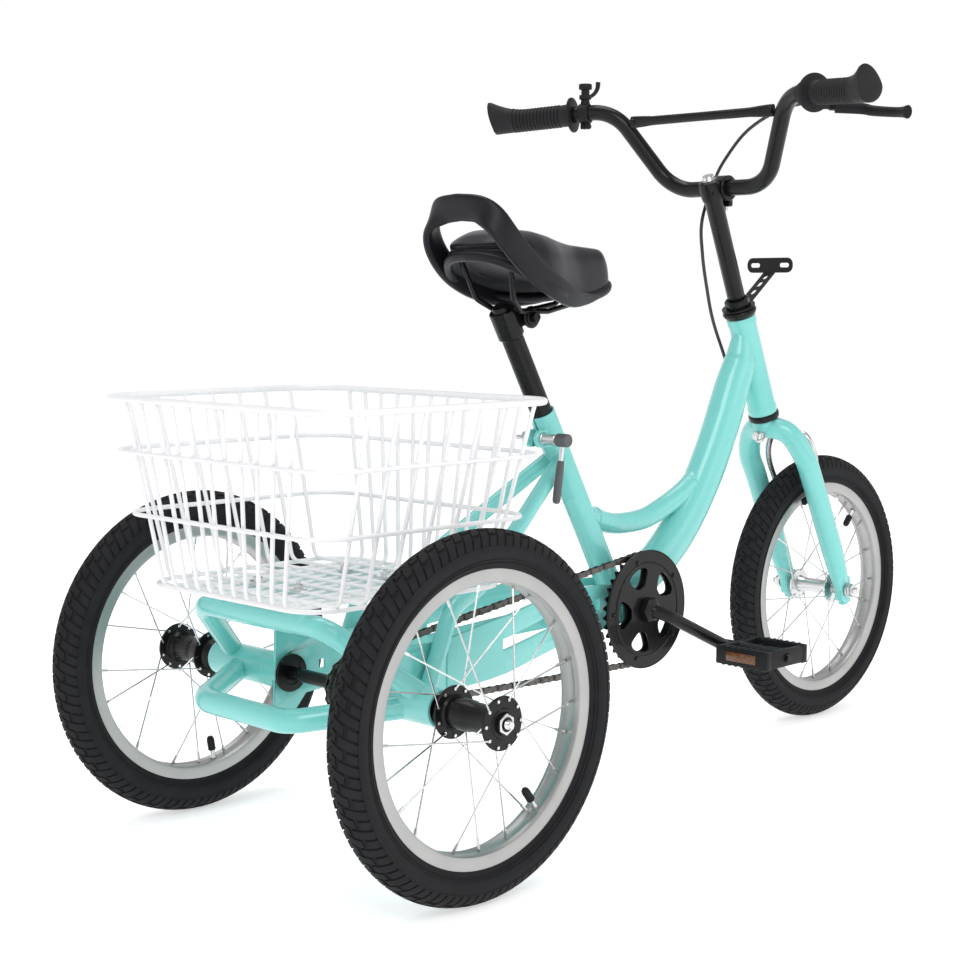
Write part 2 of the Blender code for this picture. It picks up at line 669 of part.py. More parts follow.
def fork():
    """Steerer and two fat legs that run into each other under it."""
    half = [
        (0.981, 0.0495, 0.180), (0.970, 0.0495, 0.208), (0.950, 0.0500, 0.250), (0.917, 0.0505, 0.315),
        (0.888, 0.0505, 0.372), (0.868, 0.0490, 0.408), (0.852, 0.0310, 0.442),
    ]
    knots = [at(*point) for point in half] + [at(0.840, 0, 0.450)] + [at(x, -y, z) for x, y, z in half[::-1]]
    route = smooth(knots, 2)
    tips = [0.60, 0.62, 0.72, 0.90]
    taper = tips + [1.0] * (len(route) - 2 * len(tips)) + tips[::-1]
    legs = pipe(route, 0.0160, 4, taper)
    crown = rod(along_head(-HEAD_LENGTH - 0.028), along_head(-HEAD_LENGTH - 0.0105), 0.019, sides=20)
    steerer = rod(along_head(-HEAD_LENGTH - 0.022), along_head(0.0265), STEERER_R, sides=20)
    bore = rod(along_head(-0.105), along_head(0.04), 0.0132, sides=20)
    axle = Vector((FRONT_X, 0, WHEEL_R))
    hole = rod(axle - ACROSS * 0.09, axle + ACROSS * 0.09, 0.0052, sides=12)
    between = block(at(0.950, -0.0403, 0.160), at(1.010, 0.0403, 0.214))
    sides = [
        block(at(0.950, min(y, y + sign * 0.03), 0.160), at(1.010, max(y, y + sign * 0.03), 0.214))
        for sign, y in ((1, 0.0590), (-1, -0.0590))
    ]
    caliper_bolt = rod(at(0.846, 0, 0.440), at(0.912, 0, 0.440), 0.0024, sides=10)
    mesh = cut(joined(legs, crown, steerer, caliper_bolt), bore, hole, between, *sides)
    add("fork", mesh, MINT, along_head(0))
    low = along_head(-HEAD_LENGTH)
    add("headset_lower_cup", ring(0.0150, 0.0225, low - STEER_UP * 0.0100, low - STEER_UP * GAP, 24), BLACK_PAINT)
    cup = [(0.0150, 0.0004), (0.0205, 0.0004), (0.0245, 0.0070), (0.0225, 0.0120), (0.0150, 0.0120)]
    add("headset_upper_cup", turned(cup, along_head(0), STEER_UP, 24), BLACK_PAINT)
    nut = rod(along_head(0.0160), along_head(0.0270), 0.0185, sides=8)
    bore = rod(along_head(0.0100), along_head(0.0300), 0.0150, sides=20)
    add("headset_locknut", cut(nut, bore), BLACK_PAINT)

    washer = ring(0.0150, 0.0240, along_head(0.0126), along_head(0.0154), 20)
    face = at(0.843, 0, 0.685)
    foot = along_head(0.0148) + Vector((STEER_UP.z, 0, -STEER_UP.x)) * 0.0208
    arm = loft([
        [foot + Vector((0, y, z)) for y, z in ((-0.010, -0.0012), (0.010, -0.0012), (0.010, 0.0012), (-0.010, 0.0012))],
        [
            face + Vector((0.0006, y, z - 0.010))
            for y, z in ((-0.010, -0.0012), (0.010, -0.0012), (0.010, 0.0012), (-0.010, 0.0012))
        ],
    ])
    panel = block(face + Vector((-0.0012, -0.040, -0.011)), face + Vector((0.0012, 0.040, 0.011)))
    slots = [
        block(face + Vector((-0.01, y - 0.007, -0.0028)), face + Vector((0.01, y + 0.007, 0.0028)))
        for y in (-0.024, 0.024)
    ]
    add("reflector_bracket", cut(joined(washer, arm, panel), *slots), BLACK_PAINT)


def caliper():
    """Two side-pull brake arms that turn on one bolt in front of the fork crown."""
    pivot = at(0.898, 0, 0.440)
    for side, sign, x in (("left", 1, -0.005), ("right", -1, 0.005)):
        centre = pivot + Vector((x, 0, 0))
        route = smooth([
            centre + Vector((0, sign * -0.012, 0.010)), centre, centre + Vector((0.001, sign * 0.027, -0.006)),
            centre + Vector((0.009, sign * 0.0385, -0.042)), at(0.922, sign * 0.0245, 0.341),
        ], 3)
        centre_hole = rod(centre - Vector((0.02, 0, 0)), centre + Vector((0.02, 0, 0)), 0.0030, sides=10)
        pad_centre = at(0.922, sign * 0.0228, 0.341)
        tangent = Vector((0.936, 0, 0.352)) * 0.017
        pad = rod(pad_centre - tangent, pad_centre + tangent, 0.0044, sides=8)
        arm = cut(joined(pipe(route, 0.0042, 2), pad), centre_hole)
        add(f"brake_arm_{side}", arm, CHROME, pivot)


def bar_point(along_rise, sign, spread):
    """A point in the handlebar's leaning plane."""
    lean = Vector((-math.sin(BAR_LEAN), 0, math.cos(BAR_LEAN)))
    return on_line(BAR_CENTRE, lean, along_rise) + ACROSS * sign * spread


def grip_line(sign, share):
    """A point on the straight outer stretch of the bar: 0 at its inner end, 1 at its tip."""
    back, out, drop = BAR_SWEEP
    start = bar_point(BAR_RISE, sign, BAR_SPREAD)
    return start + Vector((-back, sign * out, -drop)) * share


def handlebar():
    centre = at(BAR_CENTRE[0], 0, BAR_CENTRE[1])
    quill = rod(along_head(-0.075), along_head(0.186), QUILL_R, sides=20)
    head = rod(along_head(0.168), along_head(0.203), 0.0158, sides=20)
    clamp = rod(centre - ACROSS * 0.0185, centre + ACROSS * 0.0185, 0.0175, sides=20)
    bore = rod(centre - ACROSS * 0.04, centre + ACROSS * 0.04, BAR_R + 0.0006, sides=20)
    add("stem", cut(joined(quill, head, clamp), bore), BLACK_PAINT)

    corners = [grip_line(1, 0.965), bar_point(BAR_RISE, 1, BAR_SPREAD), bar_point(0, 1, BAR_FLAT)]
    corners += [bar_point(0, -1, BAR_FLAT), bar_point(BAR_RISE, -1, BAR_SPREAD), grip_line(-1, 0.965)]
    route = rounded(corners, 0.048, 5)
    add("handlebar", pipe(route, BAR_R, 4), BLACK_PAINT)
    bar_space = pipe(route, BAR_R + GAP, 4)
    add("crossbar", cut(rod(bar_point(0.106, 1, 0.1275), bar_point(0.106, -1, 0.1275), 0.0062), bar_space), BLACK_PAINT)

    for side, sign in (("left", 1), ("right", -1)):
        inner = grip_line(sign, GRIP_START)
        outer = grip_line(sign, 1)
        along = (outer - inner).normalized()
        barrel = rod(inner, outer, 0.0160, sides=16)
        collar = rod(inner - along * 0.001, inner + along * 0.005, 0.0245, sides=20)
        wing_low = grip_line(sign, 0.80) + Vector((-0.004, 0, 0))
        wing = rod(wing_low, outer + along * 0.004, 0.0165, 0.0220, sides=16)
        bore = rod(inner - along * 0.02, grip_line(sign, 0.972), BAR_R + 0.0006, sides=16)
        add(f"grip_{side}", cut(joined(barrel, collar, wing), bore), BLACK_PLASTIC)

    perch_at = grip_line(-1, 0.245)
    along = (grip_line(-1, 1) - perch_at).normalized()
    pivot = at(0.684, -0.214, 0.884)
    body = joined(
        rod(perch_at - along * 0.007, perch_at + along * 0.007, 0.0150, sides=16),
        pipe([perch_at + Vector((0.008, 0, -0.006)), pivot + Vector((0.001, 0.010, 0.0055))], 0.0058, 2),
        rod(pivot + UP * 0.0042, pivot + UP * 0.0090, 0.0080, sides=12),
    )
    bore = rod(perch_at - along * 0.02, perch_at + along * 0.02, BAR_R + 0.0006, sides=16)
    lever_space = rod(pivot - UP * 0.0100, pivot + UP * 0.0041, 0.0100, sides=12)
    add("brake_perch", cut(body, bore, lever_space), BLACK_PAINT)
    blade = smooth([
        pivot, pivot + Vector((0.016, -0.030, -0.003)), at(0.700, -0.262, 0.877), at(0.690, -0.300, 0.872),
        at(0.680, -0.324, 0.870),
    ], 3)
    lever = joined(rod(pivot - UP * 0.0040, pivot + UP * 0.0037, 0.0085, sides=12), pipe(blade, 0.0040, 2))
    add("brake_lever", lever, BLACK_PLASTIC, pivot)

    band_at = grip_line(1, 0.235)
    along = (grip_line(1, 1) - band_at).normalized()
    post_low = band_at + UP * 0.012
    post_top = band_at + UP * 0.034
    bell = joined(
        rod(band_at - along * 0.0075, band_at + along * 0.0075, 0.0142, sides=16),
        rod(post_low, post_top, 0.0060, sides=12),
        rod(post_top, post_top + UP * 0.008, 0.0095, sides=16),
    )
    bore = rod(band_at - along * 0.02, band_at + along * 0.02, BAR_R + 0.0006, sides=16)
    add("bell_mount", cut(bell, bore), BLACK_PLASTIC)
    hinge = post_low + UP * 0.011
    collar = ring(0.0066, 0.0088, hinge - UP * 0.003, hinge + UP * 0.003, 12)
    thumb = pipe([hinge + Vector((0.0078, 0, 0)), hinge + Vector((0.018, -0.002, 0.008)),
                  hinge + Vector((0.024, -0.003, 0.022))], 0.0024, 2)
    add("bell_lever", joined(collar, thumb), BLACK_PLASTIC, hinge)

    cable = smooth([
        at(0.694, -0.1930, 0.8870), at(0.716, -0.140, 0.896), at(0.727, -0.085, 0.888), at(0.736, -0.035, 0.868),
        at(0.745, 0.004, 0.838), at(0.745, 0.026, 0.806), at(0.719, 0.028, 0.747), at(0.716, 0.024, 0.698),
        at(0.730, 0.026, 0.650), at(0.748, 0.030, 0.610), at(0.772, 0.032, 0.569), at(0.806, 0.034, 0.520),
        at(0.850, 0.030, 0.487), at(0.882, 0.018, 0.468), at(0.893, 0.0135, 0.4520),
    ], 4)
    add("brake_cable", pipe(cable, 0.0024, 2), BLACK_PLASTIC)


# ---- Seat ------------------------------------------------------------------------------------------------

def seat():
    def along_seat(distance):
        return on_line(SEAT_TUBE_TOP, SEAT_UP, distance)

    post = joined(
        rod(along_seat(-0.115), along_seat(0.112), POST_R, sides=24),
        rod(along_seat(0.100), along_seat(0.150), 0.0110, sides=20),
    )
    add("seat_post", post, BLACK_PAINT, along_seat(0))
    pivot = at(0.322, 0, 0.614)
    sleeve = rod(along_seat(0.1125), along_seat(0.1485), 0.0170, sides=20)
    arm = block(at(0.296, -0.011, 0.603), pivot + Vector((0.004, 0.011, 0.010)))
    knuckle = rod(pivot - ACROSS * 0.016, pivot + ACROSS * 0.016, 0.0110, sides=16)
    bore = rod(along_seat(0.09), along_seat(0.16), 0.0116, sides=20)
    pin = rod(pivot - ACROSS * 0.03, pivot + ACROSS * 0.03, 0.0045, sides=12)
    add("saddle_clamp", cut(joined(sleeve, arm, knuckle), bore, pin), BLACK_PAINT)

    bolt = rod(pivot - ACROSS * 0.026, pivot + ACROSS * 0.026, 0.0040, sides=12)
    pieces = []
    for sign in (-1, 1):
        pieces.append(rod(pivot + ACROSS * sign * 0.0168, pivot + ACROSS * sign * 0.0235, 0.0125, sides=16))
        rail = smooth([
            at(0.262, sign * 0.040, 0.6625), at(0.275, sign * 0.032, 0.634), at(0.300, sign * 0.0205, 0.621),
            at(0.350, sign * 0.0205, 0.621), at(0.400, sign * 0.014, 0.630), at(0.430, sign * 0.010, 0.6445),
        ], 3)
        pieces.append(pipe(rail, 0.0035, 2))
    add("saddle_rails", joined(bolt, *pieces), BLACK_PAINT, pivot)

    # Stations along the saddle: x, half width, lowest and highest point.
    stations = [
        (0.228, 0.028, 0.676, 0.700), (0.243, 0.053, 0.667, 0.714), (0.270, 0.075, 0.666, 0.721),
        (0.308, 0.084, 0.664, 0.720), (0.345, 0.074, 0.660, 0.714), (0.378, 0.052, 0.655, 0.706),
        (0.415, 0.036, 0.651, 0.702), (0.450, 0.028, 0.654, 0.700), (0.470, 0.014, 0.664, 0.690),
    ]
    rings = []
    for x, width, low, high in stations:
        middle = (low + high) / 2
        half = (high - low) / 2
        ring_points = []
        for k in range(14):
            a = math.tau * k / 14
            flat = math.copysign(abs(math.cos(a)) ** 0.7, math.cos(a))
            tall = math.copysign(abs(math.sin(a)) ** 0.8, math.sin(a))
            ring_points.append(at(x, width * flat, middle + half * tall))
        rings.append(ring_points)
    add("saddle", loft(rings), SADDLE_SKIN, pivot)

    side = [
        (0.400, 0.047, 0.636), (0.352, 0.058, 0.634), (0.300, 0.070, 0.641), (0.256, 0.076, 0.664),
        (0.232, 0.075, 0.700), (0.221, 0.061, 0.730), (0.215, 0.034, 0.744),
    ]
    hoop = [at(x, -y, z) for x, y, z in side] + [at(0.213, 0, 0.746)] + [at(*point) for point in side[::-1]]
    hoop = smooth(hoop, 2)
    add("backrest", band(hoop, 0.017, 0.006, Vector((-0.35, 0, 1)), 8), BLACK_PLASTIC, pivot)


wheels()
rear_frame()
main_frame()
basket()
drive()
fork()
caliper()
handlebar()
seat()
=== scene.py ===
import json
import math

import bmesh
import bpy
from mathutils import Matrix, Vector

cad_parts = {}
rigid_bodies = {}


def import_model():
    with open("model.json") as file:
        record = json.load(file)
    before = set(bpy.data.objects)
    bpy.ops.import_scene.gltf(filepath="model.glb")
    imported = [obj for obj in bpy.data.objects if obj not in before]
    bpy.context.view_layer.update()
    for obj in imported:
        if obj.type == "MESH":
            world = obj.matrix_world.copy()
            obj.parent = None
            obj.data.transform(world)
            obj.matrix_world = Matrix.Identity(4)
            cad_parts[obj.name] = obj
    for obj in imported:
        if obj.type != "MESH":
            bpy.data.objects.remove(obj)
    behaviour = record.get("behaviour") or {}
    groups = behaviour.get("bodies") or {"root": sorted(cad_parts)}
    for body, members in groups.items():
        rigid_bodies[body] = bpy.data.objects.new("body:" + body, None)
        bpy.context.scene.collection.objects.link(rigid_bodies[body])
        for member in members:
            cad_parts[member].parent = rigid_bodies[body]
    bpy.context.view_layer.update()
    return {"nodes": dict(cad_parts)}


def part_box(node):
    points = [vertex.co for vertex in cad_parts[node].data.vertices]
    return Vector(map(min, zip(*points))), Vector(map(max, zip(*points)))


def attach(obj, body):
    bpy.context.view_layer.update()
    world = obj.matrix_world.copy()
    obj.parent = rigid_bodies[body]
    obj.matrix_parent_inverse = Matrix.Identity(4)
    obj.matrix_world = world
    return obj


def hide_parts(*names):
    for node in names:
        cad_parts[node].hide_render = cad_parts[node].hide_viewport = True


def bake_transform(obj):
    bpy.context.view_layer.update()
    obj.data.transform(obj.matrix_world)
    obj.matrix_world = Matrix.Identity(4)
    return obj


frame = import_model()
bpy.ops.object.select_all(action="DESELECT")


# ---- Camera, studio light and floor ----------------------------------------------------------------------
# The tricycle stands on a plain white floor in a bright, even studio. The camera looks from behind the right
# rear wheel towards the front wheel, a little above the basket.


def added(name, data):
    """A new object in the scene for some data."""
    made = bpy.data.objects.new(name, data)
    bpy.context.scene.collection.objects.link(made)
    return made


def basis(x, y, z, origin):
    """The matrix that turns the three axes to these directions and moves zero to the origin."""
    return Matrix([(*direction, 0) for direction in (x, y, z)] + [(*origin, 1)]).transposed()


camera_data = bpy.data.cameras.new("camera")
camera_data.lens = 66.96
camera = added("camera", camera_data)
yaw, pitch, roll = math.radians(45.19), math.radians(-5.93), math.radians(0.14)
ahead = Vector((math.cos(pitch) * math.cos(yaw), math.cos(pitch) * math.sin(yaw), math.sin(pitch)))
right = ahead.cross(Vector((0, 0, 1))).normalized()
above = right.cross(ahead)
right, above = right * math.cos(roll) + above * math.sin(roll), above * math.cos(roll) - right * math.sin(roll)
camera.matrix_world = basis(right, above, -ahead, (-1.78198, -1.55572, 0.64174))
bpy.context.scene.camera = camera
bpy.context.scene.view_settings.view_transform = "Standard"

world = bpy.data.worlds.new("studio")
bpy.context.scene.world = world
world.use_nodes = True
sky = world.node_tree.nodes
direction = sky.new("ShaderNodeSeparateXYZ")
falling = sky.new("ShaderNodeValToRGB")
falling.color_ramp.elements[0].position = 0.22
falling.color_ramp.elements[0].color = (1.02, 1.02, 1.02, 1)
falling.color_ramp.elements[1].position = 0.60
falling.color_ramp.elements[1].color = (0.46, 0.46, 0.47, 1)
world.node_tree.links.new(sky.new("ShaderNodeTexCoord").outputs["Generated"], direction.inputs[0])
world.node_tree.links.new(direction.outputs["Z"], falling.inputs[0])
world.node_tree.links.new(falling.outputs[0], sky["Background"].inputs["Color"])
sky["Background"].inputs["Strength"].default_value = 1.0
for name, place, aim, size, power in (
    ("key_light", (-2.2, -2.6, 3.2), (0, 0, 0.4), 2.0, 46),
    ("fill_light", (1.8, -3.4, 2.0), (0, 0, 0.4), 2.0, 12),
    ("top_light", (0.2, 0.6, 3.6), (0, 0, 0.2), 2.2, 42),
):
    lamp = bpy.data.lights.new(name, "AREA")
    lamp.size = size
    lamp.energy = power
    lamp_object = added(name, lamp)
    lamp_object.location = place
    lamp_object.rotation_euler = (Vector(aim) - Vector(place)).to_track_quat("-Z", "Y").to_euler()

bpy.ops.mesh.primitive_circle_add(vertices=96, radius=30, fill_type="NGON", location=(0, 0, -0.0005))
floor = bpy.context.object
floor.name = "floor"
floor_paint = bpy.data.materials.new("floor_white")
floor_paint.use_nodes = True
floor_shader = floor_paint.node_tree.nodes["Principled BSDF"]
floor_shader.inputs["Base Color"].default_value = (0.93, 0.93, 0.93, 1)
floor_shader.inputs["Roughness"].default_value = 0.85
floor_shader.inputs["Emission Color"].default_value = (1, 1, 1, 1)
floor_shader.inputs["Emission Strength"].default_value = 0.50
floor.data.materials.append(floor_paint)
floor.select_set(False)


# ---- Painted main frame ----------------------------------------------------------------------------------
# Steel tubes, mitred, welded and sprayed in one gloss mint coat: a tapering head tube, a fat curved down tube,
# a thinner step-through tube, the slit seat tube with its two clamp ears, and the bottom bracket shell.

REAR = sum(corner[0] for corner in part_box("rear_axle")) / 2
AXLE_Z = 0.2
ACROSS = Vector((0, 1, 0))
UP = Vector((0, 0, 1))
MM = 0.001


def at(x, y, z):
    """The point that lies x metres forward of the rear axle."""
    return Vector((REAR + x, y, z))


def mm(x, y, z):
    """The point that lies x millimetres forward of the rear axle."""
    return at(x * MM, y * MM, z * MM)


def shift(x, y, z):
    """An offset in millimetres."""
    return Vector((x * MM, y * MM, z * MM))


class Tone:
    """One output in a material's nodes. Sums and products of tones and numbers add Math nodes."""

    def __init__(self, material, socket):
        self.material = material
        self.socket = socket

    def node(self, kind, settings=None, values=None, output=0):
        """A new node with its settings and with the values or tones of its sockets."""
        made = self.material.node_tree.nodes.new(kind)
        for key, value in (settings or {}).items():
            if key == "stops":
                for k, (place, colour) in enumerate(value):
                    stop = made.color_ramp.elements[k] if k < 2 else made.color_ramp.elements.new(place)
                    stop.position = place
                    stop.color = colour
            else:
                setattr(made, key, value)
        for key, value in (values or {}).items():
            if isinstance(value, Tone):
                self.material.node_tree.links.new(value.socket, made.inputs[key])
            else:
                made.inputs[key].default_value = value
        return Tone(self.material, made.outputs[output])

    def math(self, operation, first, second):
        return self.node("ShaderNodeMath", {"operation": operation}, {0: first, 1: second})

    def __add__(self, other):
        return self.math("ADD", self, other)

    __radd__ = __add__

    def __mul__(self, other):
        return self.math("MULTIPLY", self, other)

    __rmul__ = __mul__

    def noise(self, scale, detail=3):
        return self.node("ShaderNodeTexNoise", None, {"Vector": self, "Scale": scale, "Detail": detail})

    def blend(self, factor, first, second):
        """A colour between two, by a factor."""
        colours = [value if isinstance(value, Tone) else (*value, 1) for value in (first, second)]
        settings = {"data_type": "RGBA"}
        return self.node("ShaderNodeMix", settings, {0: factor, 6: colours[0], 7: colours[1]}, 2)


def new_finish(name, **constants):
    """A material, its shader and the tone of its object coordinates."""
    made = bpy.data.materials.new(name)
    made.use_nodes = True
    shader = made.node_tree.nodes["Principled BSDF"]
    for key, value in constants.items():
        shader.inputs[key.replace("_", " ")].default_value = value
    place = made.node_tree.nodes.new("ShaderNodeTexCoord").outputs["Object"]
    return made, Tone(made, place)


def set_look(material, colour, roughness=None, bump=None, strength=0.2, depth=0.0004):
    """Links what changes over the surface to the material's shader."""
    shader = material.node_tree.nodes["Principled BSDF"]
    links = material.node_tree.links
    links.new(colour.socket, shader.inputs["Base Color"])
    if roughness is not None:
        links.new(roughness.socket, shader.inputs["Roughness"])
    if bump is not None:
        raised = bump.node("ShaderNodeBump", None, {"Strength": strength, "Distance": depth, "Height": bump})
        links.new(raised.socket, shader.inputs["Normal"])


def clouded(name, clouds, colours, rough, grains, strength, depth=0.0004, **constants):
    """A finish that drifts between two colours, with a little grain. Each grain is a noise and its weight."""
    made, place = new_finish(name, **constants)
    cloud = place.noise(*clouds)
    grain = sum(place.noise(*noise) * weight for noise, weight in grains)
    set_look(made, place.blend(cloud, *colours), rough[0] + cloud * rough[1], grain, strength, depth)
    return made


mint = clouded(
    "mint_gloss_paint", (9,), ((0.165, 0.600, 0.560), (0.220, 0.660, 0.625)), (0.20, 0.14),
    [((260, 2), 1), ((38, 2), 0.8)], 0.05, Coat_Weight=0.6, Coat_Roughness=0.06, Specular_IOR_Level=0.5,
)


def pick(piece):
    """Selects this piece and nothing else."""
    bpy.ops.object.select_all(action="DESELECT")
    bpy.context.view_layer.objects.active = piece
    piece.select_set(True)
    return piece


def finished(piece, material, body, *nodes, angle=35):
    """Smooths a piece, gives it its material, and lets it move with its body in place of CAD nodes."""
    pick(piece)
    bpy.ops.object.shade_smooth_by_angle(angle=math.radians(angle))
    for modifier in list(piece.modifiers):
        bpy.ops.object.modifier_apply(modifier=modifier.name)
    piece.data.materials.clear()
    piece.data.materials.append(material)
    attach(piece, body)
    if nodes:
        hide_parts(*nodes)
    piece.select_set(False)
    return piece


def tidy(piece):
    """Merges doubles and turns the faces out, in edit mode."""
    pick(piece)
    bpy.ops.object.mode_set(mode="EDIT")
    bpy.ops.mesh.select_all(action="SELECT")
    bpy.ops.mesh.remove_doubles(threshold=0.00001)
    bpy.ops.mesh.normals_make_consistent(inside=False)
    bpy.ops.object.mode_set(mode="OBJECT")
    return piece


def filleted(corners, bend, steps=10):
    """A route through corners, each of them an arc of the bend radius."""
    route = [corners[0]]
    for before, corner, after in zip(corners, corners[1:], corners[2:]):
        into = (corner - before).normalized()
        out = (after - corner).normalized()
        turn = into.angle(out)
        start = corner - into * bend * math.tan(turn / 2)
        side = (out - into * into.dot(out)).normalized()
        for step in range(steps + 1):
            a = turn * step / steps
            route.append(start + into * bend * math.sin(a) + side * bend * (1 - math.cos(a)))
    return route + [corners[-1]]


def eased(knots, per_span=8):
    """A smooth route through knots."""
    ends = [knots[0] * 2 - knots[1], *knots, knots[-1] * 2 - knots[-2]]
    route = []
    for a, b, c, d in zip(ends, ends[1:], ends[2:], ends[3:]):
        for step in range(per_span):
            t = step / per_span
            bend = (a * 2 - b * 5 + c * 4 - d) * t**2 + (b * 3 - a - c * 3 + d) * t**3
            route.append((b * 2 + (c - a) * t + bend) / 2)
    return route + [knots[-1]]


def tube(name, route, radius, fineness=6, thickness=None, closed=False):
    """A bent tube, drawn as a curve with a round bevel and made a mesh."""
    curve = bpy.data.curves.new(name, "CURVE")
    curve.dimensions = "3D"
    curve.bevel_depth = radius
    curve.bevel_resolution = fineness
    curve.use_fill_caps = True
    spline = curve.splines.new("POLY")
    spline.use_cyclic_u = closed
    spline.points.add(len(route) - 1)
    for k, (point, spot) in enumerate(zip(spline.points, route)):
        point.co = (*spot, 1)
        point.radius = thickness[k] if thickness else 1
    pick(added(name, curve))
    bpy.ops.object.convert(target="MESH")
    return tidy(bpy.context.object)


def facing_along(centre, axis):
    """The matrix that moves zero to the centre and turns the z axis along an axis."""
    return Matrix.Translation(centre) @ axis.to_track_quat("Z", "Y").to_matrix().to_4x4()


def drum(radius, low, high, ease, ease_up, bore=0):
    """The profile of a plain turned disc or ring with its two outer edges cut back."""
    inner = radius - ease
    return [(bore, low), (inner, low), (radius, low + ease_up), (radius, high - ease_up), (inner, high), (bore, high)]


def lathe(name, profile, centre, axis, steps=64, closed=False):
    """A turned piece: (radius, distance along the axis) points, in mm, spun round the axis in edit mode."""
    mesh = bpy.data.meshes.new(name)
    edges = [(k, k + 1) for k in range(len(profile) - 1)] + ([(len(profile) - 1, 0)] if closed else [])
    mesh.from_pydata([(r * MM, 0, along * MM) for r, along in profile], edges, [])
    piece = pick(added(name, mesh))
    bpy.ops.object.mode_set(mode="EDIT")
    bpy.ops.mesh.select_all(action="SELECT")
    bpy.ops.mesh.spin(steps=steps, angle=math.tau, center=(0, 0, 0), axis=(0, 0, 1))
    bpy.ops.object.mode_set(mode="OBJECT")
    mesh.transform(facing_along(centre, axis))
    return tidy(piece)


def together(first, *others, name=None):
    """Joins pieces into the first one."""
    bpy.ops.object.select_all(action="DESELECT")
    for other in (first, *others):
        other.select_set(True)
    bpy.context.view_layer.objects.active = first
    bpy.ops.object.join()
    first.name = name or first.name
    first.select_set(False)
    return first


def cut_away(piece, *tools):
    """Takes the tools' shapes out of a piece and deletes them."""
    for tool in tools:
        modifier = piece.modifiers.new("cut", "BOOLEAN")
        modifier.operation = "DIFFERENCE"
        modifier.object = tool
        pick(piece)
        bpy.ops.object.modifier_apply(modifier=modifier.name)
        bpy.data.objects.remove(tool)
    return piece


def eased_edges(piece, width=0.0006, segments=2, angle=40):
    """Rounds a piece's sharp edges a little."""
    modifier = piece.modifiers.new("edges", "BEVEL")
    modifier.width = width
    modifier.segments = segments
    modifier.limit_method = "ANGLE"
    modifier.angle_limit = math.radians(angle)
    pick(piece)
    bpy.ops.object.modifier_apply(modifier=modifier.name)
    return piece


def box_piece(name, low, high, width=0.0006):
    """A block between two corners with eased edges."""
    bpy.ops.object.select_all(action="DESELECT")
    bpy.ops.mesh.primitive_cube_add(size=1, location=(low + high) / 2, scale=high - low)
    piece = bpy.context.object
    piece.name = name
    bpy.ops.object.transform_apply(location=True, rotation=False, scale=True)
    return eased_edges(piece, width)


def block(name, middle, half, width=0.0006):
    """A block about its middle, by half its length, width and height."""
    return box_piece(name, middle - Vector(half), middle + Vector(half), width)


def bead(name, centre, axis, radius, thickness):
    """A weld bead: a rippled ring round a joint, under the paint."""
    side = axis.orthogonal().normalized()
    other = axis.cross(side)
    count = 96
    route = [
        centre + (side * math.cos(math.tau * k / count) + other * math.sin(math.tau * k / count)) * radius
        for k in range(count)
    ]
    return tube(name, route, thickness, 2, [1 + 0.22 * (k % 3 == 0) for k in range(count)], True)


def leaning(degrees):
    """The upward direction that leans back by an angle."""
    return Vector((-math.sin(math.radians(degrees)), 0, math.cos(math.radians(degrees))))


STEER_UP = leaning(22.5)
SEAT_UP = leaning(29.5)
HEAD_TOP = mm(775, 0, 612)
HEAD_LENGTH = 0.151
HEAD_LOW = HEAD_TOP - STEER_UP * HEAD_LENGTH
SEAT_TOP = mm(361, 0, 493)
BRACKET = mm(507, 0, 228)

head_tube = lathe("head_tube_painted", [
    (16.6, 0), (20.6, 0), (21.2, 3), (21.2, 10), (20, 14), (20, 137), (21.2, 141), (21.2, 148), (20.6, 151),
    (16.6, 151),
], HEAD_LOW, STEER_UP, closed=True)
finished(head_tube, mint, "frame", "head_tube")

down_route = eased([
    mm(780, 0, 598), mm(778.5, 0, 574), mm(774.5, 0, 546), mm(758, 0, 512), mm(728, 0, 446), mm(690, 0, 380),
    mm(645, 0, 322), mm(590, 0, 275), mm(520, 0, 238),
])
taper = [
    0.42 + 0.46 * min(1, k / 16) + 0.12 * min(1, max(0, k - 14) / 14) - 0.10 * max(0, (k - 50) / 14)
    for k in range(len(down_route))
]
down_tube = tube("down_tube_painted", down_route, 0.0290, 12, taper)
bpy.ops.transform.resize(value=(1, 0.0235 / 0.029, 1), center_override=(0, 0, 0))
bpy.ops.object.transform_apply(location=True, rotation=True, scale=True)
finished(down_tube, mint, "frame", "down_tube")

step_route = eased([
    mm(448, 0, 353), mm(500, 0, 338), mm(558, 0, 338), mm(600, 0, 349), mm(650, 0, 370),
    mm(688, 0, 394),
])
step_tube = tube("step_tube_painted", step_route, 0.0143, 8)
bore = lathe("bore", [(0, -200), (15, -200), (15, 20), (0, 20)], SEAT_TOP, SEAT_UP, 40)
finished(cut_away(step_tube, bore), mint, "frame", "step_tube")

seat_tube = lathe("seat_tube_painted", [
    (15, 0), (16.8, 0), (17.2, -1.2), (17, -295), (15, -295),
], SEAT_TOP, SEAT_UP, closed=True)
ear = SEAT_TOP - SEAT_UP * 0.024 + shift(-21, 0, -12)
slit = box_piece("slit", SEAT_TOP + shift(-60, -1.5, -55), SEAT_TOP + shift(0, 1.5, 20), 0.0001)
seat_tube = cut_away(seat_tube, slit)
ears = []
for y in (-0.009, 0.009):
    lug = lathe("ear", drum(11.5, -3, 3, 0.7, 0.8),
                ear + Vector((-0.001, y, 0)), ACROSS, 40)
    web = box_piece("web", ear + Vector((-0.001, y - 0.003, -0.0112)), ear + Vector((0.016, y + 0.003, 0.0112)))
    ears += [lug, web]
seat_tube = together(seat_tube, *ears)
finished(seat_tube, mint, "frame", "seat_tube")
# A thin near-black disc on the back of the seat tube stands in for its vent hole: it is painted shade of the hole's
# inside, with a faint random speck.
drain = lathe("seat_tube_vent_shade", [(0, 16.5), (4.2, 16.5), (4.2, 17.4), (0, 17.4)],
              SEAT_TOP - SEAT_UP * 0.075, SEAT_UP.cross(ACROSS), 20)
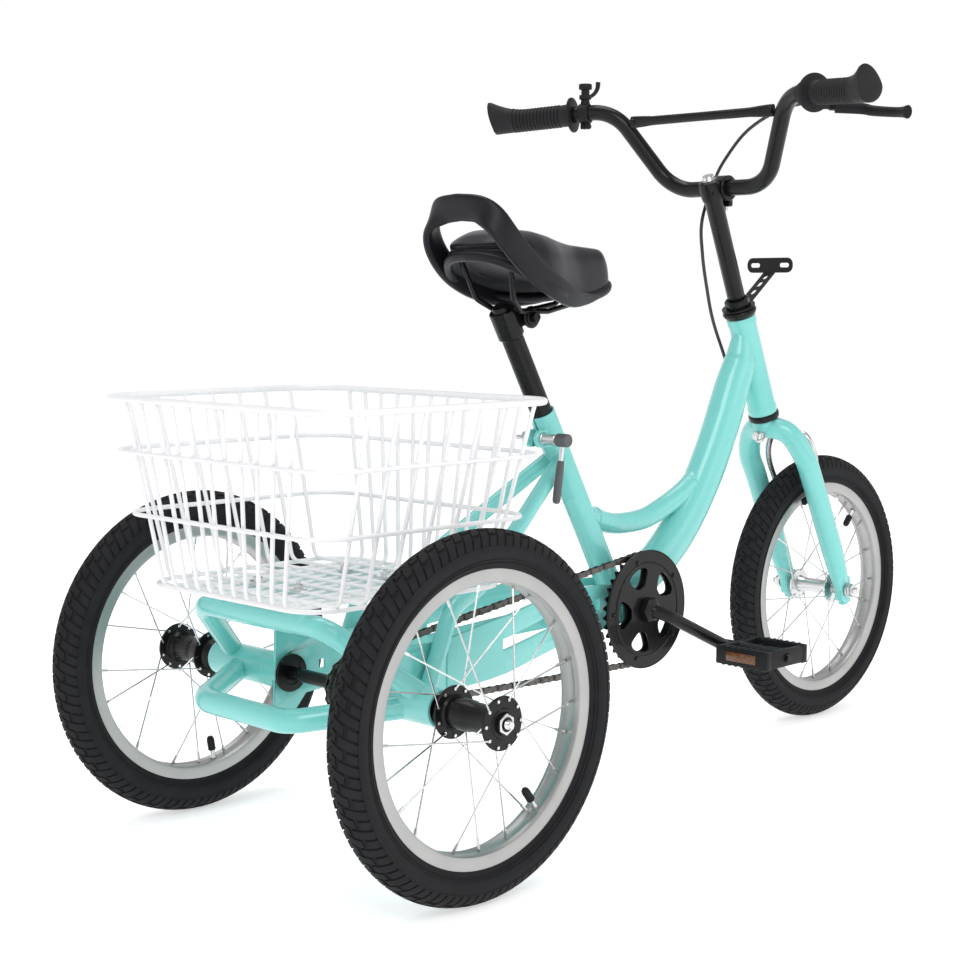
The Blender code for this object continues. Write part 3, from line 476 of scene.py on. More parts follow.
dark, place = new_finish("vent_hole_painted_shade", Metallic=0.0)
speck = place.noise(180)
set_look(dark, place.blend(speck, (0.006, 0.006, 0.006), (0.02, 0.02, 0.02)), 0.7 + speck * 0.2)
finished(drain, dark, "frame")

shell = lathe("bracket_shell_painted", drum(24, -34, 34, 0.8, 0.8, 9.6), BRACKET, ACROSS, closed=True)
finished(shell, mint, "frame", "bottom_bracket")

welds = [
    bead("weld", mm(449, 0, 353.5) + shift(13.5, 0, -5), Vector((0.96, 0, -0.27)), 0.0144, 0.0011),
    bead("weld", mm(667, 0, 379), Vector((0.85, 0, 0.52)), 0.0143, 0.0010),
]
finished(together(*welds), mint, "frame")


# ---- Rear frame ------------------------------------------------------------------------------------------
# Two axle housings with a pressed steel plate on each, flat bent chainstays with a long window, two tubular
# seat stays, and the two bent hoops behind the axle that carry the basket. All of it is welded and sprayed.

for side, sign in (("left", 1), ("right", -1)):
    start = Vector((REAR, sign * 0.0632, AXLE_Z))
    profile = drum(21, 0, 132.8, 0.6, 0.8, 18)
    housing = lathe(f"axle_housing_{side}_painted", profile, start, ACROSS * sign, closed=True)
    finished(housing, mint, "frame", f"axle_housing_{side}")
    face = Vector((REAR, sign * 0.0585, AXLE_Z))
    bearing = lathe(f"bearing_cup_{side}", [
        (8.6, 1), (13, 1), (14, 0), (21.5, 0), (22.5, 1), (22.5, 3.6), (21.5, 4.2), (17.2, 4.2), (17.2, 15),
        (8.6, 15),
    ], face, ACROSS * sign, closed=True)
    if side == "left":
        black = clouded(
            "black_gloss_paint", (30,), ((0.0035, 0.0035, 0.0040), (0.0090, 0.0090, 0.0100)), (0.20, 0.16),
            [((300, 2), 1)], 0.08, Coat_Weight=0.15, Coat_Roughness=0.06, Specular_IOR_Level=0.18,
        )
    finished(bearing, black, "frame", f"axle_bearing_{side}")

    stay = filleted([
        mm(385, sign * 10.8, 430), mm(190, sign * 64, 297), mm(125, sign * 79.7, 279),
        mm(88, sign * 79.7, 190),
    ], 0.040)
    finished(tube(f"seat_stay_{side}_painted", stay, 0.0102, 8), mint, "frame", f"seat_stay_{side}")

    for kind in ("side_plate", "chainstay"):
        plate = tidy(added(f"{kind}_{side}_painted", frame["nodes"][f"{kind}_{side}"].data.copy()))
        finished(eased_edges(plate, 0.0007, 2, 30), mint, "frame", f"{kind}_{side}")

upper = filleted([
    mm(-4, 165, 212), mm(-90, 110, 287), mm(-90, -110, 287), mm(-4, -165, 212)
], 0.030)
finished(tube("rack_hoop_painted", upper, 0.0125, 8), mint, "frame", "rack_hoop")
lower = filleted([
    mm(0, 152, 197), mm(-116, 76, 184), mm(-116, -76, 184), mm(0, -152, 197)
], 0.035)
finished(tube("bumper_hoop_painted", lower, 0.0135, 8), mint, "frame", "bumper_hoop")

platform = tidy(added("rack_platform_painted", frame["nodes"]["rack_platform"].data.copy()))
legs = [
    box_piece("leg", at(x - 0.006, y - 0.010, z), at(x + 0.006, y + 0.010, 0.3008))
    for x, y, z in ((-0.080, 0.052, 0.286), (-0.080, -0.052, 0.286), (0.120, 0.066, 0.276), (0.120, -0.066, 0.276))
]
finished(together(eased_edges(platform, 0.0005, 2, 30), *legs), mint, "frame", "rack_platform")


# ---- Tyres -----------------------------------------------------------------------------------------------
# Three moulded rubber tyres with a herringbone block tread that runs down onto the shoulders, two fine ribs on
# each sidewall and a bead tucked into the rim. The tread is pressed into the casing face by face.

TREAD_STEPS = 400
TREAD_EDGE = 74
TREAD_SLANT = 5
GROOVE_WALL = 0.00055
GROOVE_DEPTH = 0.0017
CASING_R = 177.5
WHEELS = {
    "rear_right": Vector((REAR, -0.25, AXLE_Z)),
    "rear_left": Vector((REAR, 0.25, AXLE_Z)),
    "front": Vector((-REAR, 0, AXLE_Z)),
}
WHEEL_BODY = {"rear_right": "rear_axle", "rear_left": "left_wheel", "front": "front_wheel"}
casing = []
for k in range(23):
    a = math.radians(58) + math.radians(244) * k / 22
    reach = 22.2 + 0.3 * math.cos(math.pi - a)
    casing.append((CASING_R - reach * math.cos(a), 0.98 * reach * math.sin(a)))
walls = [(164, 16.6), (160, 15), (156, 12.4)]
profile = walls[::-1] + casing + [(r, -y) for r, y in walls]
tyre = lathe("tyre_pattern", profile, Vector((0, 0, 0)), ACROSS, TREAD_STEPS)
pick(tyre)
bpy.ops.object.mode_set(mode="EDIT")
form = bmesh.from_edit_mesh(tyre.data)
pitch_angle = math.tau / TREAD_STEPS
for face in form.faces:
    middle = face.calc_center_median()
    radius = math.hypot(middle.x, middle.z)
    across = math.degrees(math.atan2(middle.y, radius - CASING_R * MM))
    step = round(math.atan2(middle.z, middle.x) / pitch_angle - 0.5) + (2 if across > 0 else 0)
    column = int(abs(across) / 11.1)
    groove = step % 4 == 0 or (column == 1 and step % 8 < 4) or (column == 3 and step % 8 > 4)
    face.select_set(abs(across) < TREAD_EDGE and radius > CASING_R * MM and groove)
for vertex in form.verts:
    radius = math.hypot(vertex.co.x, vertex.co.z)
    across = math.degrees(abs(math.atan2(vertex.co.y, radius - CASING_R * MM)))
    slant = pitch_angle * TREAD_SLANT * (min(across, TREAD_EDGE) / TREAD_EDGE) ** 0.8
    turn = math.atan2(vertex.co.z, vertex.co.x) + slant
    vertex.co.x, vertex.co.z = radius * math.cos(turn), radius * math.sin(turn)
bmesh.update_edit_mesh(tyre.data)
bpy.ops.mesh.inset(thickness=GROOVE_WALL, depth=-GROOVE_DEPTH, use_individual=False)
bpy.ops.object.mode_set(mode="OBJECT")

rubber = clouded(
    "tyre_rubber", (55, 4), ((0.008, 0.0082, 0.0088), (0.023, 0.0235, 0.0255)), (0.50, 0.28),
    [((700, 2), 1), ((120, 2), 0.6)], 0.25, Specular_IOR_Level=0.13,
)
for name, centre in WHEELS.items():
    treaded = added(f"tyre_{name}_treaded", tyre.data.copy())
    treaded.data.transform(Matrix.Translation(centre))
    ribs = []
    for sign in (-1, 1):
        for radius, y in ((0.1655, 0.0185), (0.1690, 0.0203), (0.1832, 0.0212)):
            ring = [
                centre + Vector((radius * math.cos(a), sign * y, radius * math.sin(a)))
                for a in (math.tau * k / 120 for k in range(120))
            ]
            ribs.append(tube("rib", ring, 0.0007, 1, None, True))
    finished(together(treaded, *ribs), rubber, WHEEL_BODY[name], f"tyre_{name}", angle=38)
bpy.data.objects.remove(tyre)


# ---- Rims ------------------------------------------------------------------------------------------------
# Single-wall aluminium rims with a satin brushed face, a raised hook at each edge, a rolled well, and one
# threaded valve stem with a black cap. The spoke nipples sit in shallow dimples in the well.

satin, place = new_finish("brushed_rim", Metallic=0.85)
grain = place.node("ShaderNodeTexNoise", None, {"Vector": place, "Scale": 420, "Detail": 2})
dull = place.noise(16, 3)
set_look(
    satin,
    place.blend(dull, (0.36, 0.36, 0.355), (0.52, 0.52, 0.51)),
    0.30 + dull * 0.16 + grain * 0.05,
    grain,
    0.12,
    0.0002,
)
cap_black = clouded(
    "matte_black_plastic", (24, 2), ((0.005, 0.005, 0.006), (0.014, 0.014, 0.016)), (0.42, 0.16),
    [((420, 3), 1)], 0.30, Specular_IOR_Level=0.22,
)
bright = clouded(
    "bright_steel", (60,), ((0.55, 0.55, 0.56), (0.80, 0.80, 0.80)), (0.16, 0.16), [((500, 2), 1)], 0.05, Metallic=1.0,
)

half = [
    (145, 0), (144.6, 6), (143.2, 8.5), (143.4, 10.8), (145.2, 14), (147, 14.9), (156.5, 14.9), (157.8, 15),
    (159, 14.9), (159.2, 14), (158.6, 12.8), (156, 12.6), (150, 11.8), (147.5, 6), (147, 0),
]
rim_profile = half + [(r, -y) for r, y in half[::-1] if y > 0]
for name, centre in WHEELS.items():
    body = WHEEL_BODY[name]
    rim = lathe(f"rim_{name}_satin", rim_profile, centre, ACROSS, 120, True)
    finished(rim, satin, body, f"rim_{name}", angle=30)
    valve_angle = math.radians({"rear_right": -52, "rear_left": -80, "front": 48}[name])
    out = Vector((math.cos(valve_angle), 0, math.sin(valve_angle)))
    stem_base = centre + out * 0.1445
    finished(lathe(f"valve_stem_{name}", [
        (0, 0), (4.2, 0), (4.2, 2), (3, 4), (3, 12), (0, 12),
    ], stem_base, -out, 24), bright, body)
    finished(lathe(f"valve_cap_{name}", [
        (0, 11.5), (4.4, 11.5), (5, 12.5), (4.6, 15.5), (5, 17.5), (4.6, 20), (5, 22.5), (4.4, 27), (3, 29.2),
        (0, 29.2),
    ], stem_base, -out, 24), cap_black, body)


# ---- Hubs, spokes and axles ------------------------------------------------------------------------------
# Each wheel hangs on twenty round steel spokes, laced tangentially and crossed, ten from each hub flange. The
# rear hubs and the long rear axle are black; the front hub is polished steel. Zinc nuts close both axles.

FLANGES = {
    "rear_right": ((-0.0365, 0.0355), 0.0255),
    "rear_left": ((-0.0355, 0.0365), 0.0255),
    "front": ((-0.0300, 0.0300), 0.0195),
}
SPOKES_A_SIDE = 10
for name, (flanges, flange_r) in FLANGES.items():
    centre = WHEELS[name]
    wires = []
    for side, flange_y in enumerate(flanges):
        for k in range(SPOKES_A_SIDE):
            a = math.tau * (k + side / 2) / SPOKES_A_SIDE
            lean = math.radians(62) * (1 if k % 2 else -1)
            near = Vector((flange_r * math.cos(a), flange_y + (0.0022 if k % 2 else -0.0022), flange_r * math.sin(a)))
            rim_y = math.copysign(0.003, flange_y)
            swing = a + lean * 0.55
            far = Vector((0.1440 * math.cos(swing), rim_y, 0.1440 * math.sin(swing)))
            nipple = near.lerp(far, 0.90)
            wires.append(tube("spoke", [centre + near, centre + nipple, centre + far], 0.0010, 1))
            wires.append(tube("nipple", [centre + near.lerp(far, 0.905), centre + far], 0.0019, 1))
            head = Vector((near.x, flange_y, near.z))
            outer = math.copysign(0.0024, flange_y)
            wires.append(tube("head", [centre + head - ACROSS * outer, centre + head + ACROSS * outer], 0.0019, 2))
    finished(together(*wires, name=f"spokes_{name}"), bright, WHEEL_BODY[name])

rear_hub = [
    (8.6, -51), (14.2, -51), (15, -50), (16, -47), (20.5, -40.5), (20.5, -37.5), (28.4, -37.5), (29, -36.9),
    (29, -35.1), (28.4, -34.5), (20, -34.3), (17.5, -32), (17.2, -8), (16, -5), (15.8, 25), (17.2, 31), (20, 34),
    (28.4, 34.2), (29, 34.8), (29, 36.6), (28.4, 37.2), (16.8, 37.6), (16, 39), (12.5, 39.2), (12, 43), (8.6, 43),
]
for name, sign in (("rear_right", -1), ("rear_left", 1)):
    hub = lathe(f"hub_{name}_turned", [(r, y * sign) for r, y in rear_hub], WHEELS[name], ACROSS, 72, True)
    finished(hub, black, WHEEL_BODY[name], f"hub_{name}", angle=30)
front_hub = [
    (5.3, -39.5), (7, -39.5), (7.5, -38.5), (8.2, -33), (11, -32.2), (21.9, -31.6), (22.5, -31), (22.5, -29),
    (21.9, -28.4), (13, -27.8), (11.2, -24), (10.5, -14),
]
front_hub += [(r, -y) for r, y in front_hub[::-1]]
hub = lathe("hub_front_polished", front_hub, WHEELS["front"], ACROSS, 64, True)
finished(hub, bright, "front_wheel", "hub_front", angle=30)

rear_axle = lathe("rear_axle_black", [
    (0, -293.5), (8, -293.5), (8, 293.5), (0, 293.5),
], Vector((REAR, 0, AXLE_Z)), ACROSS, 40)
finished(rear_axle, black, "rear_axle", "rear_axle")


def axle_nut(name, centre, out, bore, across_flats, height, washer):
    """A washer, a hexagon nut with chamfered corners and the threaded end of an axle. Sizes are in millimetres."""
    bpy.ops.object.select_all(action="DESELECT")
    bpy.ops.mesh.primitive_cylinder_add(vertices=6, radius=across_flats * MM / 1.732, depth=height * MM)
    nut = eased_edges(bpy.context.object, 0.0008, 2, 70)
    nut.data.transform(facing_along(centre + out * (1.8 + height / 2) * MM, out))
    ring = lathe("washer", [(0, 0), (washer, 0), (washer, 1.2), (washer - 0.6, 1.8), (0, 1.8)], centre, out, 40)
    thread = [(0, height + 1)]
    for k in range(6):
        thread += [(bore, height + 1.5 + k), (bore - 0.5, height + 2 + k)]
    thread += [(bore - 1, height + 8.4), (0, height + 8.4)]
    end = lathe("thread", thread, centre, out, 24)
    return together(nut, ring, end, name=name)


for side, sign in (("right", -1), ("left", 1)):
    nut = axle_nut(f"rear_nut_{side}", mm(0, sign * 285.7, 200), ACROSS * sign, 4.8, 20.5, 5.9, 10.5)
    finished(nut, bright, "rear_axle")
spindle = lathe("front_spindle", [(0, -62), (4.7, -62), (4.7, 62), (0, 62)], WHEELS["front"], ACROSS, 24)
nuts = [
    axle_nut("nut", WHEELS["front"] + ACROSS * sign * 0.0598, ACROSS * sign, 4.7, 17.2, 8.5, 10.8)
    for sign in (-1, 1)
]
finished(together(spindle, *nuts), bright, "steering", "front_axle")


# ---- Chain, chainring and sprocket -----------------------------------------------------------------------
# A dark half-inch bush chain of side plates and rollers runs from a steel chainring with a pressed guard disc
# to a small freewheel sprocket on the rear axle. All of it is blackened and lightly oiled.

PITCH = 0.0127
RING_R = 0.0729
SPROCKET_R = 0.0325
RING_TEETH = 36
SPROCKET_TEETH = 16
CHAIN_Y = -0.046
oiled = clouded(
    "oiled_steel", (90,), ((0.040, 0.038, 0.036), (0.20, 0.185, 0.175)), (0.26, 0.28),
    [((600, 2), 1)], 0.08, Metallic=0.9,
)

hub_point = Vector((REAR, CHAIN_Y, AXLE_Z))
ring_point = Vector((BRACKET.x, CHAIN_Y, BRACKET.z))
gap = ring_point - hub_point
run = math.atan2(gap.z, gap.x)
lean = math.asin((RING_R - SPROCKET_R) / gap.length)
low, high = run - math.pi / 2 - lean, run + math.pi / 2 + lean


def round_point(centre, radius, a):
    return centre + Vector((math.cos(a), 0, math.sin(a))) * radius


loop = [round_point(ring_point, RING_R, low + (high - low) * k / 60) for k in range(61)]
loop += [round_point(hub_point, SPROCKET_R, high + (math.tau + low - high) * k / 40) for k in range(41)]
loop.append(loop[0])
lengths = [0]
for a, b in zip(loop, loop[1:]):
    lengths.append(lengths[-1] + (b - a).length)
links = 2 * round(lengths[-1] / PITCH / 2)
pins = []
for k in range(links):
    distance = lengths[-1] * k / links
    i = max(j for j, length in enumerate(lengths[:-1]) if length <= distance)
    pins.append(loop[i].lerp(loop[i + 1], (distance - lengths[i]) / (lengths[i + 1] - lengths[i])))
chain_form = bmesh.new()
for k, pin in enumerate(pins):
    after = pins[(k + 1) % links]
    along = (after - pin).normalized()
    up = along.cross(ACROSS)
    offset = 0.0030 if k % 2 else 0.0018
    for sign in (-1, 1):
        rows = []
        for y in (offset - 0.0005, offset + 0.0005):
            shape = []
            for end, direction in ((after, 1), (pin, -1)):
                for a in (-75, -30, 30, 75):
                    turn = math.radians(a)
                    shape.append(end + along * direction * 0.0040 * math.cos(turn)
                                 + up * direction * 0.0040 * math.sin(turn) + ACROSS * sign * y)
                shape.append((pin + after) / 2 + up * direction * 0.0030 + ACROSS * sign * y)
            rows.append([chain_form.verts.new(point) for point in shape])
        for i in range(len(rows[0])):
            chain_form.faces.new((rows[0][i - 1], rows[0][i], rows[1][i], rows[1][i - 1]))
        chain_form.faces.new(rows[0])
        chain_form.faces.new(rows[1])
    turn = Matrix.Translation(pin) @ Matrix.Rotation(math.pi / 2, 4, "X")
    for segments, r, depth in ((10, 0.0030, 0.0030), (8, 0.0015, 0.0078)):
        sizes = {"segments": segments, "radius1": r, "radius2": r, "depth": depth}
        bmesh.ops.create_cone(chain_form, cap_ends=True, matrix=turn, **sizes)
bmesh.ops.recalc_face_normals(chain_form, faces=chain_form.faces)
chain_mesh = bpy.data.meshes.new("chain_links")
chain_form.to_mesh(chain_mesh)
chain_form.free()
finished(added("chain_links", chain_mesh), oiled, "frame", "chain")


def flat_piece(name, outlines, low_y, high_y):
    """Sheet metal cut to an outline with holes, given in the side view."""
    curve = bpy.data.curves.new(name, "CURVE")
    curve.dimensions = "2D"
    curve.fill_mode = "BOTH"
    curve.extrude = (high_y - low_y) / 2
    for points in outlines:
        spline = curve.splines.new("POLY")
        spline.points.add(len(points) - 1)
        spline.use_cyclic_u = True
        for point, spot in zip(spline.points, points):
            point.co = (spot[0], spot[1], 0, 1)
    pick(added(name, curve))
    bpy.ops.object.convert(target="MESH")
    drawn = bpy.context.object
    drawn.data.transform(Matrix.Translation((0, (low_y + high_y) / 2, 0)) @ Matrix.Rotation(math.pi / 2, 4, "X"))
    return tidy(drawn)


def disc_line(centre, radius, count):
    """A circle in the side view, as points."""
    angles = [math.tau * k / count for k in range(count)]
    return [(centre.x + radius * math.cos(a), centre.z + radius * math.sin(a)) for a in angles]


def toothed_line(centre, teeth, root, tip, phase):
    """The outline of a sprocket: each tooth has a rounded root and a blunt tip."""
    points = []
    for k in range(teeth):
        for share, radius in ((0.0, root), (0.16, root + 0.0006), (0.34, tip - 0.0014), (0.44, tip), (0.56, tip),
                              (0.66, tip - 0.0014), (0.84, root + 0.0006)):
            a = phase + math.tau * (k + share) / teeth
            points.append((centre.x + radius * math.cos(a), centre.z + radius * math.sin(a)))
    return points


windows = []
for k in range(5):
    start = math.tau * k / 5 + math.radians(14)
    middle, half_sweep = start + math.radians(25), math.radians(25)
    window = []
    for j in range(36):
        a = math.tau * j / 36
        u = math.copysign(abs(math.cos(a)) ** 0.65, math.cos(a))
        v = math.copysign(abs(math.sin(a)) ** 0.65, math.sin(a))
        reach = 0.0440 + 0.0132 * v
        turn = middle + half_sweep * u * (0.80 + 0.16 * v)
        window.append((BRACKET.x + reach * math.cos(turn), BRACKET.z + reach * math.sin(turn)))
    windows.append(window)
crank_hole = disc_line(BRACKET, 0.0092, 32)
guard = flat_piece("guard", [disc_line(BRACKET, 0.0785, 120), crank_hole, *windows], -0.0568, -0.0550)
lip = tube("lip", [Vector((x, -0.0559, z)) for x, z in disc_line(BRACKET, 0.0778, 120)], 0.0013, 2, None, True)
step_ring = tube("step", [Vector((x, -0.0566, z)) for x, z in disc_line(BRACKET, 0.0625, 100)], 0.0012, 2, None, True)
toothed = flat_piece("teeth", [
    toothed_line(BRACKET, RING_TEETH, 0.0688, 0.0752, low), crank_hole, *windows,
], CHAIN_Y - 0.0013, CHAIN_Y + 0.0013)
boss = lathe("boss", [(9.2, -57.2), (21.5, -57.2), (22.2, -56), (22.2, -45), (9.2, -45)],
             Vector((BRACKET.x, 0, BRACKET.z)), ACROSS, 48, True)
rivets = [
    lathe("rivet", [(0, -59.2), (2, -59), (3.2, -57.8), (3.4, -56.6), (0, -56.6)],
          Vector((BRACKET.x + 0.0670 * math.cos(a), 0, BRACKET.z + 0.0670 * math.sin(a))), ACROSS, 16)
    for a in (math.tau * (k + 0.5) / 5 for k in range(5))
]
ring_parts = [eased_edges(guard, 0.0004, 1, 50), lip, step_ring, toothed, boss, *rivets]
finished(together(*ring_parts), black, "crank", "chainring")

sprocket = flat_piece("sprocket", [
    toothed_line(hub_point, SPROCKET_TEETH, 0.0285, 0.0348, high), disc_line(hub_point, 0.0092, 24),
], CHAIN_Y - 0.0013, CHAIN_Y + 0.0013)
cage = lathe("freewheel", [
    (8.6, -50), (19.5, -50), (20.5, -49.2), (20.5, -46), (22.5, -44), (22.5, -31), (21.5, -30), (8.6, -30),
], Vector((REAR, 0, AXLE_Z)), ACROSS, 48, True)
finished(together(sprocket, cage), oiled, "sprocket", "rear_sprocket")


# ---- One-piece crank and pedals --------------------------------------------------------------------------
# A single forged bar is bent into both crank arms and runs through the bottom bracket. Moulded pedals with a
# ribbed tread and amber reflectors turn on the pins at its two ends.

CRANK_ANGLE = math.radians(-26.8)
CRANK_LENGTH = 0.140
PEDAL_Y = 0.152
reach = Vector((math.cos(CRANK_ANGLE), 0, math.sin(CRANK_ANGLE))) * CRANK_LENGTH
right_eye = BRACKET + reach - ACROSS * 0.097
left_eye = BRACKET - reach + ACROSS * 0.097
bar = tube("crank_bar", filleted([
    right_eye, BRACKET + reach * 0.16 - ACROSS * 0.080, BRACKET - ACROSS * 0.066,
    BRACKET + ACROSS * 0.066, BRACKET - reach * 0.16 + ACROSS * 0.080, left_eye,
], 0.012), 0.0085, 7)
eyes = []
for eye, sign in ((right_eye, -1), (left_eye, 1)):
    eyes.append(lathe("eye", drum(11.2, -8.5, 8.5, 1, 1.5), eye, ACROSS, 40))
    eyes.append(lathe("pin", [
        (0, 0), (8.5, 0), (8.5, 6), (6, 7), (6, 90), (5, 93.5), (0, 93.5),
    ], eye + ACROSS * sign * 0.0080, ACROSS * sign, 24))
cone = lathe("crank_cone", [(0, -69), (12, -69), (16.8, -66.5), (17.2, -59), (0, -59)],
             Vector((BRACKET.x, 0, BRACKET.z)), ACROSS, 6)
dust = lathe("dust_cap", [(0, 34.5), (21.5, 34.5), (22.2, 36), (18, 40), (12, 43), (0, 43)],
             Vector((BRACKET.x, 0, BRACKET.z)), ACROSS, 48)
finished(together(bar, cone, dust, *eyes), black, "crank", "one_piece_crank")

amber, place = new_finish("amber_reflector", Roughness=0.18, Coat_Weight=0.5, Coat_Roughness=0.05)
prism = place.node("ShaderNodeTexVoronoi", None, {"Vector": place, "Scale": 420})
amber_tones = place.blend(prism, (0.060, 0.018, 0.006), (0.20, 0.065, 0.014))
set_look(amber, amber_tones, 0.14 + prism * 0.2, prism, 0.5, 0.0005)
for side, sign, eye in (("right", -1, right_eye), ("left", 1, left_eye)):
    centre = Vector((eye.x, sign * PEDAL_Y, eye.z))
    cage = [block("rail", centre + Vector((x, 0, 0)), (0.0055, 0.042, 0.0125), 0.0018) for x in (-0.04, 0.04)]
    cage += [block("end", centre + ACROSS * y, (0.044, 0.004, 0.0115), 0.0015) for y in (-0.0375, 0.0375)]
    for k in range(7):
        for x in (-0.04, 0.04):
            for z in (-0.0125, 0.0125):
                cage.append(block("rib", centre + Vector((x, -0.03 + 0.01 * k, z)), (0.005, 0.0016, 0.0008), 0.0004))
    cage += [block("web", centre + ACROSS * y, (0.036, 0.0014, 0.007), 0.0005) for y in (-0.018, 0.018)]
    barrel = lathe("barrel", [
        (6.7, -40), (11, -40), (11.8, -38), (10.5, 0), (11.8, 38), (11, 40), (6.7, 40),
    ], centre, ACROSS, 32, True)
    finished(together(*cage, barrel), cap_black, f"pedal_{side}", f"pedal_{side}")
    plates = [block("lens", centre + Vector((x, 0, 0)), (0.0008, 0.024, 0.0062)) for x in (-0.046, 0.046)]
    finished(together(*plates, name=f"pedal_reflectors_{side}"), amber, f"pedal_{side}")


# ---- Fork and headset ------------------------------------------------------------------------------------
# Two fat steel legs bend out of one crown, narrow towards the axle and end in flat slotted tips. Steerer and
# legs are welded and painted mint; the black headset has a lower race, an upper cup and a locknut.

half = [
    (0.981, 0.0495, 0.180), (0.970, 0.0495, 0.208), (0.950, 0.0500, 0.250), (0.917, 0.0505, 0.315),
    (0.888, 0.0505, 0.372), (0.868, 0.0490, 0.408), (0.852, 0.0310, 0.442),
]
knots = [at(*point) for point in half] + [mm(840, 0, 450)] + [at(x, -y, z) for x, y, z in half[::-1]]
fork_route = eased(knots, 8)
count = len(fork_route) - 1
fork_taper = []
for k in range(count + 1):
    share = min(k, count - k) / 8
    fork_taper.append(0.60 + 0.40 * min(1, max(0, (share - 0.3) / 2.0)) ** 0.8)
legs = tube("fork_legs", fork_route, 0.0160, 9, fork_taper)
for vertex in legs.data.vertices:
    if vertex.co.z < 0.222:
        ease = min(1, (0.222 - vertex.co.z) / 0.016)
        depth = abs(vertex.co.y)
        flat = min(max(depth, 0.0425), 0.0566)
        vertex.co.y = math.copysign(depth + (flat - depth) * ease, vertex.co.y)
crown = lathe("crown", [(0, 0), (17.5, 0), (19.2, 2), (19.2, 15), (18, 17.5), (0, 17.5)],
              HEAD_LOW - STEER_UP * 0.028, STEER_UP, 48)
steerer = lathe("steerer", [(13.2, 0), (14.3, 0), (14.3, 175), (13.2, 175)],
                HEAD_LOW, STEER_UP, 40, True)
tips = []
for sign in (-1, 1):
    edge = ((-11, 20), (-13.5, 0), (-10, -16), (0, -20.5), (10, -16), (13.5, 0), (9, 20))
    edge = [(-REAR + x * MM, AXLE_Z + z * MM) for x, z in edge]
    tip = flat_piece("tip", [edge], sign * 0.0495 - 0.0065, sign * 0.0495 + 0.0065)
    tips.append(eased_edges(tip, 0.0010, 2, 50))
finished(together(legs, crown, steerer, *tips), mint, "steering", "fork")

finished(lathe("lower_race", [
    (15, -10), (20.5, -10), (21.8, -9.2), (22.5, -7), (22.5, -3), (21.8, -1), (20.5, -0.4), (15, -0.4),
], HEAD_LOW, STEER_UP, closed=True), black, "frame", "headset_lower_cup")
finished(lathe("upper_cup", [
    (15, 0.4), (20.5, 0.4), (22.2, 2), (24.3, 6), (24.5, 7.5), (23.8, 9.5), (22.8, 11), (21, 12), (15, 12),
], HEAD_TOP, STEER_UP, closed=True), black, "frame", "headset_upper_cup")
bpy.ops.object.select_all(action="DESELECT")
bpy.ops.mesh.primitive_cylinder_add(vertices=8, radius=0.0185, depth=0.0105, location=(0, 0, 0))
locknut = eased_edges(bpy.context.object, 0.0012, 3, 30)
locknut.data.transform(facing_along(HEAD_TOP + STEER_UP * 0.0213, STEER_UP))
bore = lathe("bore", [(0, 0), (15, 0), (15, 30), (0, 30)], HEAD_TOP + STEER_UP * 0.008, STEER_UP, 40)
finished(cut_away(locknut, bore), black, "steering", "headset_locknut")


# ---- Reflector bracket -----------------------------------------------------------------------------------
# A black pressed-steel strip is clamped under the locknut, rises forward through a row of holes, and carries
# a small cross plate with two slots for a reflector.

plate_centre = mm(843, 0, 685)


def rounded_line(half_u, half_v, radius, u=0.0, v=0.0, count=6):
    """A rectangle with rounded corners, as points."""
    points = []
    for cu, cv, quarter in ((half_u, half_v, 0), (-half_u, half_v, 1), (-half_u, -half_v, 2), (half_u, -half_v, 3)):
        for k in range(count + 1):
            a = math.pi / 2 * (quarter + k / count)
            points.append((u + cu - math.copysign(radius, cu) + radius * math.cos(a),
                           v + cv - math.copysign(radius, cv) + radius * math.sin(a)))
    return points


cross = flat_piece("cross_plate", [
    rounded_line(0.0395, 0.0108, 0.0095),
    rounded_line(0.0085, 0.0032, 0.0031, 0.0255), rounded_line(0.0085, 0.0032, 0.0031, -0.0255),
], -0.0012, 0.0012)
cross.data.transform(Matrix.Translation(plate_centre) @ Matrix.Rotation(math.pi / 2, 4, "Z"))
foot = HEAD_TOP + STEER_UP * 0.0148 + Vector((STEER_UP.z, 0, -STEER_UP.x)) * 0.0208
head = plate_centre + shift(0.2, 0, -9.8)
length = (head - foot).length
strip = flat_piece("strip", [
    rounded_line(length / 2, 0.0095, 0.0020, length / 2),
    rounded_line(0.0062, 0.0036, 0.0034, length * 0.30), rounded_line(0.0062, 0.0036, 0.0034, length * 0.57),
    rounded_line(0.0048, 0.0036, 0.0034, length * 0.80),
], -0.0011, 0.0011)
along = (head - foot).normalized()
facing = along.cross(ACROSS).normalized()
strip.data.transform(basis(along, facing, ACROSS, foot))
tidy(strip)
washer = lathe("bracket_washer", drum(24, 12.7, 15.4, 0.4, 0.4, 15), HEAD_TOP, STEER_UP, 48, True)
bracket = [eased_edges(cross, 0.0003, 1, 50), eased_edges(strip, 0.0003, 1, 50), washer]
finished(together(*bracket, name="reflector_bracket_pressed"), black, "steering", "reflector_bracket")


# ---- Front brake -----------------------------------------------------------------------------------------
# A side-pull rim brake: two polished arms turn on one bolt through the crown, each with a black rubber block in
# a steel shoe. Its black outer cable runs up behind the stem to the lever on the right grip.

